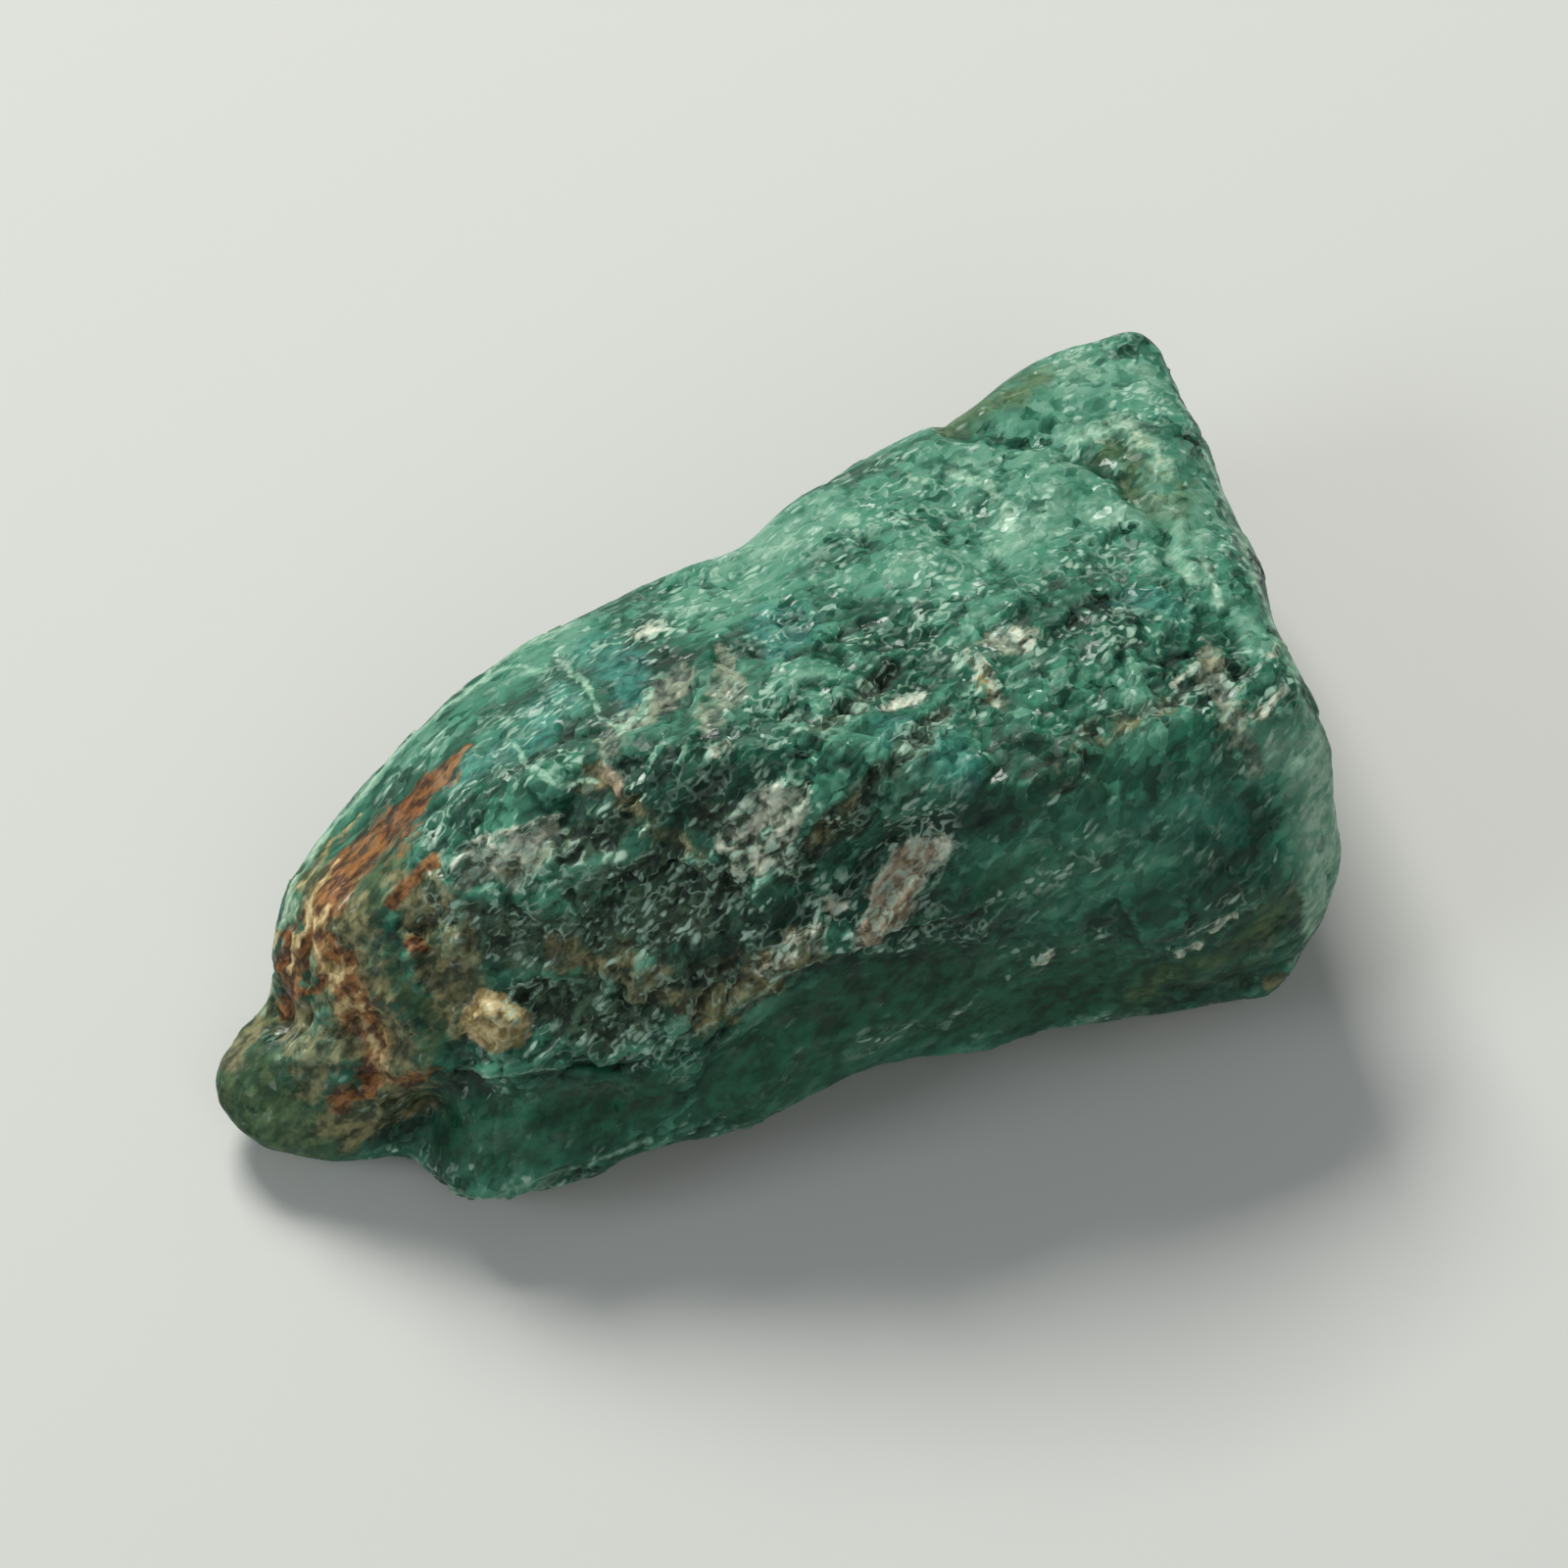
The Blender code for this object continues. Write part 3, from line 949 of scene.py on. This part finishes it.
    def wear_down(self) -> np.ndarray:
        """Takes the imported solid's own facets off the worn places.

        Returns:
            How worn each point is, from 0 to 1.
        """
        skirt = 0.75 * self.plan.skirting(self.averaged(self.normals, 12))
        calm = np.maximum(self.solid(Mark.SMOOTH, 0.20, 0.70), skirt)
        eased = self.averaged(self.points, 40)
        eased = 2.0 * eased - self.averaged(eased, 40)
        self.points = self.points + (eased - self.points) * calm[:, None]
        self.normals = self.normals + (self.averaged(self.normals, 20) - self.normals) * calm[:, None]
        self.normals /= np.linalg.norm(self.normals, axis=1)[:, None]
        return calm

    def plain_relief(self, lamellar: np.ndarray) -> np.ndarray:
        """Works out the feldspar's own relief: swells, flat breaks and the steps of its sheets.

        Args:
            lamellar: The points along the feldspar's own directions.

        Returns:
            The height of each point, in mm, where the stone is fully rough.
        """
        wavelength, size = self.swell
        height = size * noise_at(self.points, wavelength, 60.0)
        for facets in self.breaks:
            height += facets.heights(lamellar)
        wander = self.sheet_wander * noise_at(self.points, 3.1, 70.0)
        level = lamellar[:, 1] / self.sheet + self.sheet_lean * lamellar[:, 2] + wander
        share = level - np.floor(level)
        patchy = smoothstep(-0.05, 0.35, noise_at(lamellar, 4.0, 75.0))
        return height + self.sheet_step * patchy * (share - smoothstep(0.85, 1.0, share))

    def crystals(self) -> np.ndarray:
        """Works out the relief of the crystals, hollows and stains.

        Returns:
            The height of each point, in mm.
        """
        blocky = self.blocks.heights(self.points)
        height = np.zeros(len(self.points))
        for growth in self.growths:
            own = growth.rise + growth.blocks * blocky
            height += own * self.solid(growth.mark, growth.low, growth.high)
        return height

    def write(self, mesh: bpy.types.Mesh) -> None:
        """Writes the broken surface and its fields to the mesh, in metres.

        Args:
            mesh: The even copy's mesh.
        """
        mesh.vertices.foreach_set("co", (self.points * MM).ravel())
        mesh.update()
        normals = rows_of(mesh.vertices, "normal", 3)
        for name, rounds, size in EDGES:
            proud = ((self.points - self.averaged(self.points, rounds)) * normals).sum(axis=1)
            self.fields[name] = np.clip(0.5 + 0.5 * proud / size, 0.0, 1.0)
        for name, values in self.fields.items():
            attribute = mesh.attributes.new(name, "FLOAT", "POINT")
            attribute.data.foreach_set("value", values.astype(np.float32))
        mesh.shade_smooth()


@dataclass(frozen=True)
class Stain:
    """How a mark is coloured.

    Args:
        mark: The mark.
        deep: Its darker colour.
        pale: Its lighter colour.
        soft: How wide its frayed rim is.
        cover: How much it hides the feldspar under it, from 0 to 1.
    """

    mark: Mark
    deep: str
    pale: str
    soft: float
    cover: float


MULTIPLY = {"operation": "MULTIPLY"}
MULTIPLY_ADD = {"operation": "MULTIPLY_ADD"}
COLOURS = {"data_type": "RGBA"}
RANGE = ("Value", "From Min", "From Max", "To Min", "To Max")


@dataclass(frozen=True)
class RawAmazonite:
    """Green potassium feldspar, broken and never polished: sugary flakes of teal, pale perthite lamellae, and
    iron stain where water ran; its colour also holds painted glints, painted highlights and painted shade. It
    gives the eye a mottled, glinting green.

    Args:
        plan: The plan that gives the lamellae's direction.
        body: The feldspar's colours from deep to pale, each with its place on the scale of tone.
        stains: The marks over it, from the lowest to the one that lies over all others.
        grains: How large the flakes of the broken surface, its single glinting cleavage faces and its finest
            broken grains are, in mm, and at which places each pattern is read.
        lamella: How wide a pale lamella is, in mm.
        bend: How large the bends of the grains' rims are, in mm.
        fray: How large the tatters of a mark's rim are, in mm.
        mottle: How large the spots of a mark's two colours are, in mm.
        curl: How large the curls of painted light along rims are, in mm.
        curl_width: How far from a curl's middle line it starts to fade, and where it is gone.
        base: The tone where all that counts in it is nothing.
        tones: How much each pattern counts in it, in the order that they are added.
        sparkling: The colour of the painted glints on grains and rims.
        crowding: How much more or less of those each field brings.
        grime_and_pit_shade: The colour of the painted shade and the dirt in pits.
        leans: How far the cleavage faces of each size lean, as rise over run.
        gloss: The roughness of a worn grain, and of the freshest.
        ior: The index of refraction of feldspar.
        shine: The specular level; under 0.5 because the faces are etched.
    """

    plan: Plan = field(default_factory=Plan)
    body: tuple[tuple[float, str], ...] = (
        (0.00, "#071F17"), (0.24, "#0F3A2B"), (0.44, "#1F5C46"),
        (0.62, "#43856B"), (0.80, "#64967D"), (1.00, "#86B099"),
    )
    stains: tuple[Stain, ...] = (
        Stain(Mark.BLUE, "#176258", "#4A9C8A", 0.24, 0.58),
        # its deep colour is also painted shade on the lower front
        Stain(Mark.DEEP, "#0B3420", "#1D5E42", 0.22, 0.72),
        Stain(Mark.OLIVE, "#2F4928", "#5A7045", 0.22, 0.72),
        Stain(Mark.GREY, "#48564A", "#A3AC92", 0.12, 0.75),
        Stain(Mark.DARK, "#1A281B", "#495C44", 0.16, 0.80),
        Stain(Mark.BROWN, "#414229", "#928A60", 0.14, 0.75),
        Stain(Mark.RUST, "#4A1F0C", "#A0622C", 0.12, 0.74),
        Stain(Mark.TAN, "#94804F", "#DCC996", 0.10, 0.92),
        Stain(Mark.WHITE, "#43543F", "#E6EBD3", 0.10, 0.84),
        Stain(Mark.PINK, "#756650", "#B0A288", 0.10, 0.92),
        # painted highlights, and the painted glow of the thin clear rims
        Stain(Mark.RIM_LIGHT, "#69A083", "#B6DAC0", 0.16, 0.68),
    )
    grains: tuple[tuple[str, float, str], ...] = (
        ("flake", 1.0, "bent"), ("grain", 0.42, "bent"), ("sugar", 0.23, "dashed"),
    )
    lamella: float = 0.28
    bend: float = 0.5
    fray: float = 0.7
    mottle: float = 0.45
    curl: float = 0.42
    curl_width: tuple[float, float] = (0.014, 0.068)
    base: float = -0.46
    # Of these, bright lifts the upper face as painted light, and fine_edge and broad_edge paint highlights on
    # proud edges and shade in hollows.
    tones: tuple[tuple[str, float], ...] = (
        ("cloud", 0.67), ("flake", 0.14), ("grain", 0.24), ("lamellae", 0.30),
        ("bright", 0.36), ("fine_edge", 0.16), ("broad_edge", 0.14),
    )
    # the colour of the painted glints
    sparkling: str = "#A3C4AF"
    crowding: tuple[tuple[str, float], ...] = (
        ("white", 0.60), ("dark", 0.28), ("grey", 0.14), ("bright", 0.12), ("deep", -0.36), ("smooth", -0.07),
        ("olive", -0.46), ("rust", -0.34), ("brown", -0.18), ("fine_edge", 0.14),
    )
    grime_and_pit_shade: str = "#14231B"
    leans: tuple[tuple[str, float], ...] = (("flake", 0.30), ("grain", 0.58), ("sugar", 0.54))
    gloss: tuple[float, float] = (0.58, 0.24)
    ior: float = 1.53
    shine: float = 0.32

    def material(self) -> bpy.types.Material:
        """Builds the stone's material.

        Returns:
            The material.
        """
        made = bpy.data.materials.new("raw_amazonite")
        made.use_nodes = True
        made.node_tree.nodes.clear()
        AmazoniteNodes(self, made.node_tree).build()
        return made


@dataclass
class AmazoniteNodes:
    """The nodes that raw amazonite is made of.

    Args:
        look: The finish.
        tree: The material's node tree.

    Attributes:
        fields: The mesh's soft fields, by their names.
        spots: The places that the patterns are read at, in mm along the lamellae, across them and out of the
            plan: drawn out along them 1.5 times ("drawn") or 5 times ("long"), "drawn" with its straight
            lines bent ("bent"), and that drawn out twice as far again ("dashed").
        cells: The broken grains of each size, by what the nodes give: a random colour for each grain, and
            the distance from its middle.
        chances: Three random numbers for each grain of two sizes, from that colour.
    """

    look: RawAmazonite
    tree: bpy.types.NodeTree
    fields: dict[str, bpy.types.NodeSocket] = field(init=False, default_factory=dict)
    spots: dict[str, bpy.types.NodeSocket] = field(init=False, default_factory=dict)
    cells: dict[str, Any] = field(init=False, default_factory=dict)
    chances: dict[str, Any] = field(init=False, default_factory=dict)

    def build(self) -> None:
        """Adds all the nodes, from what the patterns are read from to the output."""
        self.add_spots()
        self.add_sources()
        look = {
            # The base colour holds painted light: a lit upper face and lit edges in the tone, painted
            # highlights and shade among the marks, painted glints, and painted shade in pits.
            "Base Color": self.pit_shaded_and_dirtied(self.with_painted_glints(self.marked(self.body_colour(self.tone())))),
            "Roughness": self.roughness(),
            "Normal": self.relief(),
            "IOR": self.look.ior,
            "Specular IOR Level": self.look.shine,
        }
        shader = self.add("BsdfPrincipled", links=look)
        self.add("OutputMaterial", links={"Surface": shader.outputs["BSDF"]})

    def add(
        self, kind: str, settings: dict[str, Any] | None = None, links: dict[str | int, Any] | None = None
    ) -> bpy.types.Node:
        """Adds a node.

        Args:
            kind: The node's type, without the words that every shader node's type starts with.
            settings: Properties of the node.
            links: For each input, a socket to link to it or a value to set on it.

        Returns:
            The node.
        """
        node = self.tree.nodes.new(f"ShaderNode{kind}")
        for name, value in (settings or {}).items():
            setattr(node, name, value)
        for name, value in (links or {}).items():
            if isinstance(value, bpy.types.NodeSocket):
                self.tree.links.new(value, node.inputs[name])
            else:
                node.inputs[name].default_value = value
        return node

    def add_spots(self) -> None:
        """Adds the places that the patterns are read at."""
        source = self.add("TexCoord").outputs["Object"]
        turn = Matrix(self.look.plan.lamellar_axes().tolist()).to_euler()
        turned = self.add("Mapping", links={"Vector": source, "Rotation": turn, "Scale": (1.0 / MM,) * 3})
        for name, draw in (("drawn", 1.5), ("long", 5.0)):
            links = {"Vector": turned.outputs["Vector"], "Scale": (1.0 / draw, 1.0, 1.0)}
            self.spots[name] = self.add("Mapping", links=links).outputs["Vector"]
        drawn = self.spots["drawn"]
        noise_links = {"Vector": drawn, "Scale": 1.0 / self.look.bend, "Detail": 1.0}
        shift = self.add("TexNoise", links=noise_links).outputs["Color"]
        bent = self.add("VectorMath", MULTIPLY_ADD, {0: shift, 1: (0.45,) * 3, 2: drawn}).outputs[0]
        dashed = self.add("Mapping", links={"Vector": bent, "Scale": (1.0 / 2.0, 1.0, 1.0)})
        self.spots |= {"bent": bent, "dashed": dashed.outputs["Vector"]}

    def add_sources(self) -> None:
        """Adds the readings of the mesh's soft fields, and the broken grains."""
        for name in (*(mark.value for mark in Mark), "cloud", "crowd", *(edge[0] for edge in EDGES)):
            self.fields[name] = self.add("Attribute", {"attribute_name": name}).outputs["Fac"]
        for name, size, spot in self.look.grains:
            links = {"Vector": self.spots[spot], "Scale": 1.0 / size}
            self.cells[name] = self.add("TexVoronoi", links=links).outputs
        for name in ("grain", "sugar"):
            links = {"Color": self.cells[name]["Color"]}
            self.chances[name] = self.add("SeparateColor", links=links).outputs

    def tone(self) -> bpy.types.NodeSocket:
        """Adds the lightness: the feldspar's cloudy mottle, a tone for each grain and pale lamellae, with
        painted light: bright lifts the upper face, and the two edge fields paint highlights on proud edges
        and shade in hollows.

        Returns:
            A tone from 0, deep, to 1, pale.
        """
        bands = {
            "Vector": self.spots["long"], "Scale": 0.5 / self.look.lamella, "Detail": 1.0, "Roughness": 0.55,
        }
        sources = self.fields | {name: self.cells[name]["Color"] for name in ("flake", "grain")}
        sources["lamellae"] = self.add("TexNoise", links=bands).outputs["Fac"]
        total: bpy.types.NodeSocket | float = self.look.base
        for name, share in self.look.tones:
            links = {0: sources[name], 1: share, 2: total}
            total = self.add("Math", MULTIPLY_ADD, links).outputs[0]
        return total

    def body_colour(self, tone: bpy.types.NodeSocket) -> bpy.types.NodeSocket:
        """Adds the feldspar's colour for each tone.

        Args:
            tone: The tone.

        Returns:
            The colour.
        """
        ramp = self.add("ValToRGB", links={"Fac": tone})
        elements = ramp.color_ramp.elements
        while len(elements) < len(self.look.body):
            elements.new(0.5)
        for element, (place, colour) in zip(elements, self.look.body):
            element.position = place
            element.color = linear(colour)
        return ramp.outputs["Color"]

    def marked(self, colour: bpy.types.NodeSocket) -> bpy.types.NodeSocket:
        """Lays the marks over the feldspar, each with a frayed rim and two colours that mottle mixes.

        Args:
            colour: The feldspar's colour.

        Returns:
            The colour with the marks.
        """
        drawn = self.spots["drawn"]
        tatters = {"Vector": drawn, "Scale": 1.0 / self.look.fray, "Detail": 3.0, "Roughness": 0.68}
        fray = self.add("TexNoise", links=tatters).outputs["Fac"]
        dabs = {"Vector": drawn, "Scale": 1.0 / self.look.mottle, "Detail": 2.0, "Roughness": 0.65}
        mottle = self.add("TexNoise", links=dabs).outputs["Fac"]
        share = self.add("MapRange", links=dict(zip(RANGE, (mottle, 0.41, 0.61)))).outputs["Result"]
        for stain in self.look.stains:
            links = {0: fray, 1: 1.0, 2: self.fields[stain.mark.value]}
            frayed = self.add("Math", MULTIPLY_ADD, links).outputs[0]
            rim = dict(zip(RANGE, (frayed, 1.0 - stain.soft, 1.0 + stain.soft, 0.0, stain.cover)))
            mask = self.add("MapRange", {"interpolation_type": "SMOOTHSTEP"}, rim).outputs["Result"]
            own = self.add("Mix", COLOURS, {0: share, 6: linear(stain.deep), 7: linear(stain.pale)})
            colour = self.add("Mix", COLOURS, {0: mask, 6: colour, 7: own.outputs[2]}).outputs[2]
        return colour

    def with_painted_glints(self, colour: bpy.types.NodeSocket) -> bpy.types.NodeSocket:
        """Adds painted glints: pale grains, and short curls of pale light along rims that the grains break
        up.

        Args:
            colour: The colour so far.

        Returns:
            The colour with the painted glints.
        """
        crowd = self.fields["crowd"]
        for name, share in self.look.crowding:
            links = {0: self.fields[name], 1: share, 2: crowd}
            crowd = self.add("Math", MULTIPLY_ADD, links).outputs[0]

        # A curl, the first kind of painted glint, follows the middle value of a noise. It shows where glints
        # crowd, and keeps to some grains.
        # The second kind fills the middle of a fine grain, picked by its own chance and the crowding.
        links = {"Vector": self.spots["drawn"], "Scale": 1.0 / self.look.curl, "Detail": 1.0}
        curls = self.add("TexNoise", links=links).outputs["Fac"]
        off = self.add("Math", {"operation": "SUBTRACT"}, {0: curls, 1: 0.5}).outputs[0]
        away = self.add("Math", {"operation": "ABSOLUTE"}, {0: off}).outputs[0]
        links = {0: crowd, 1: 0.9, 2: self.chances["sugar"]["Green"]}
        picked = self.add("Math", MULTIPLY_ADD, links).outputs[0]
        thin, some, kept, chosen, core = (
            self.add("MapRange", links=dict(zip(RANGE, values))).outputs["Result"]
            for values in (
                (away, *self.look.curl_width, 1.0, 0.0),
                (crowd, 0.42, 0.80, 0.0, 0.60),
                (self.chances["grain"]["Red"], 0.46, 0.62, 0.12, 1.0),
                (picked, 1.25, 1.49, 0.0, 0.86),
                (self.cells["sugar"]["Distance"], 0.28, 0.52, 1.0, 0.0),
            )
        )
        whole = self.add("Math", MULTIPLY, {0: thin, 1: some}).outputs[0]
        curl = self.add("Math", MULTIPLY, {0: whole, 1: kept}).outputs[0]
        grain_glint = self.add("Math", MULTIPLY, {0: chosen, 1: core}).outputs[0]
        glint_mask = self.add("Math", {"operation": "MAXIMUM"}, {0: curl, 1: grain_glint}).outputs[0]
        # Painted glints: the pale colour stands in for light off cleavage faces and rims.
        return self.add("Mix", COLOURS, {0: glint_mask, 6: colour, 7: linear(self.look.sparkling)}).outputs[2]

    def pit_shaded_and_dirtied(self, colour: bpy.types.NodeSocket) -> bpy.types.NodeSocket:
        """Adds painted shade and dirt in the pits, most of all in the dark crust: the colour darkens where a
        point lies below its neighbours.

        Args:
            colour: The colour so far.

        Returns:
            The colour with the pits darkened.
        """
        # Painted shade and dirt: the colour darkens by how far a point lies below its neighbours, most in the
        # dark crust.
        most = self.add("Math", MULTIPLY_ADD, {0: self.fields["dark"], 1: 0.68, 2: 0.12}).outputs[0]
        depth = dict(zip(RANGE, (self.fields["fine_edge"], 0.08, 0.40, most, 0.0)))
        pit = self.add("MapRange", links=depth).outputs["Result"]
        return self.add("Mix", COLOURS, {0: pit, 6: colour, 7: linear(self.look.grime_and_pit_shade)}).outputs[2]

    def roughness(self) -> bpy.types.NodeSocket:
        """Adds the gloss: fresh cleavage faces shine, dirt and stain are dull.

        Returns:
            The roughness.
        """
        freshness = dict(zip(RANGE, (self.chances["grain"]["Blue"], 0.55, 0.95, *self.look.gloss)))
        sparkling = self.add("MapRange", links=freshness).outputs["Result"]
        links = {0: self.fields["dark"], 1: self.fields["rust"]}
        dull = self.add("Math", {"operation": "MAXIMUM"}, links).outputs[0]
        return self.add("Math", MULTIPLY_ADD | {"use_clamp": True}, {0: dull, 1: 0.25, 2: sparkling}).outputs[0]

    def relief(self) -> bpy.types.NodeSocket:
        """Adds relief too fine for the mesh: each grain's own cleavage face leans its own way.

        Returns:
            The normal.
        """
        deep = dict(zip(RANGE, (self.fields["deep"], 0.35, 0.65, 1.0, 0.25)))
        share = self.add("MapRange", links=deep).outputs["Result"]
        normal = self.add("NewGeometry").outputs["Normal"]
        for name, lean in self.look.leans:
            links = {0: self.cells[name]["Color"], 1: (lean,) * 3, 2: (-0.5 * lean,) * 3}
            leant = self.add("VectorMath", MULTIPLY_ADD, links).outputs[0]
            eased = self.add("VectorMath", {"operation": "SCALE"}, {0: leant, "Scale": share}).outputs[0]
            normal = self.add("VectorMath", {"operation": "ADD"}, {0: normal, 1: eased}).outputs[0]
        return self.add("VectorMath", {"operation": "NORMALIZE"}, {0: normal}).outputs[0]


@dataclass(frozen=True)
class StudioFloor:
    """A matt painted board, pale warm grey, that the stone stands on.

    Args:
        half: Half the board's width, in metres.
        colour: The paint.
        roughness: How matt it is.
        shine: Its specular level, low because the paint is chalky.
    """

    half: float = 1.5
    colour: str = "#CFD1CD"
    roughness: float = 0.85
    shine: float = 0.2

    def build(self) -> bpy.types.Object:
        """Makes the board.

        Returns:
            The board.
        """
        bm = bmesh.new()
        bmesh.ops.create_grid(bm, x_segments=1, y_segments=1, size=self.half)
        board = put_in_scene("studio_floor", finished(bm, "studio_floor"))
        paint = bpy.data.materials.new("matt_painted_board")
        paint.use_nodes = True
        shader = paint.node_tree.nodes["Principled BSDF"]
        shader.inputs["Base Color"].default_value = linear(self.colour)
        shader.inputs["Roughness"].default_value = self.roughness
        shader.inputs["Specular IOR Level"].default_value = self.shine
        board.data.materials.append(paint)
        return board


@dataclass(frozen=True)
class Softbox:
    """A soft studio lamp aimed at the stone.

    Args:
        name: The lamp's name.
        azimuth: Where it stands, in degrees turned from the front.
        elevation: How high it stands, in degrees.
        distance: How far from the stone, in metres.
        size: The width of its diffuser, in metres.
        power: Its power, in watts.
        colour: Its light.
    """

    name: str
    azimuth: float
    elevation: float
    distance: float
    size: float
    power: float
    colour: str = "#FFFFFF"

    def build(self) -> bpy.types.Object:
        """Makes the lamp.

        Returns:
            The lamp.
        """
        light = bpy.data.lights.new(self.name, "AREA")
        light.shape = "SQUARE"
        light.size = self.size
        light.energy = self.power
        light.color = linear(self.colour)[:3]
        lamp = put_in_scene(self.name, light)
        back = Vector(towards(self.azimuth, self.elevation))
        lamp.location = back * self.distance
        lamp.rotation_euler = back.to_track_quat("Z", "Y").to_euler()
        return lamp


@dataclass(frozen=True)
class Studio:
    """The camera, the lamps and the pale room.

    Args:
        plan: The plan that the camera looks at square-on.
        width: How wide the view is at the stone, in mm.
        sensor: The width of the camera's sensor, in mm.
        lamps: The soft lamps.
        room: The colour of the room's light.
        room_strength: Its strength.
    """

    plan: Plan = field(default_factory=Plan)
    width: float = 52.0
    sensor: float = 36.0
    lamps: tuple[Softbox, ...] = (
        Softbox("key_softbox", 175.0, 48.0, 0.60, 0.22, 3.6, "#FFFDF8"),
        Softbox("side_softbox", -100.0, 35.0, 0.60, 0.25, 0.8, "#F4F9FF"),
        Softbox("front_softbox", -10.0, 50.0, 0.80, 0.50, 0.75, "#FFFFFF"),
    )
    room: str = "#EEF2F5"
    room_strength: float = 0.20

    def build(self) -> None:
        """Sets up the camera, the lamps and the room."""
        scene = bpy.context.scene
        camera = bpy.data.cameras.new("camera")
        camera.sensor_width = self.sensor
        camera.lens = self.sensor * self.plan.distance / self.width
        camera.clip_start = 0.01
        camera.dof.use_dof = False
        holder = put_in_scene("camera", camera)
        back = Vector(self.plan.axes()[2])
        holder.location = (Vector(self.plan.centre) + back * self.plan.distance) * MM
        holder.rotation_euler = back.to_track_quat("Z", "Y").to_euler()
        scene.camera = holder
        for lamp in self.lamps:
            lamp.build()
        world = bpy.data.worlds.new("pale_room")
        world.use_nodes = True
        shade = world.node_tree.nodes["Background"]
        shade.inputs["Color"].default_value = linear(self.room)
        shade.inputs["Strength"].default_value = self.room_strength
        scene.world = world
        scene.view_settings.view_transform = "Standard"


def clear_strays() -> None:
    """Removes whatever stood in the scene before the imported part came."""
    ours = {obj.name for obj in frame["nodes"].values()} | {obj.name for obj in frame["bodies"].values()}
    for obj in list(bpy.data.objects):
        if obj.name not in ours:
            bpy.data.objects.remove(obj)


def main() -> None:
    """Builds the stone and the studio, and reports each piece."""
    logging.basicConfig(level=logging.INFO, format="%(name)s: %(message)s")
    clear_strays()
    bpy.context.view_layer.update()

    plan = Plan()
    Studio(plan).build()
    floor = StudioFloor().build()
    log.info("studio and floor")

    stone = RoughStone(plan).build(frame["nodes"][NODE])
    stone.data.materials.clear()
    stone.data.materials.append(RawAmazonite(plan).material())
    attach(stone, BODY)
    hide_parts(NODE)
    log.info("%s: %d triangles", stone.name, len(stone.data.polygons))


if __name__ == "__main__":
    main()
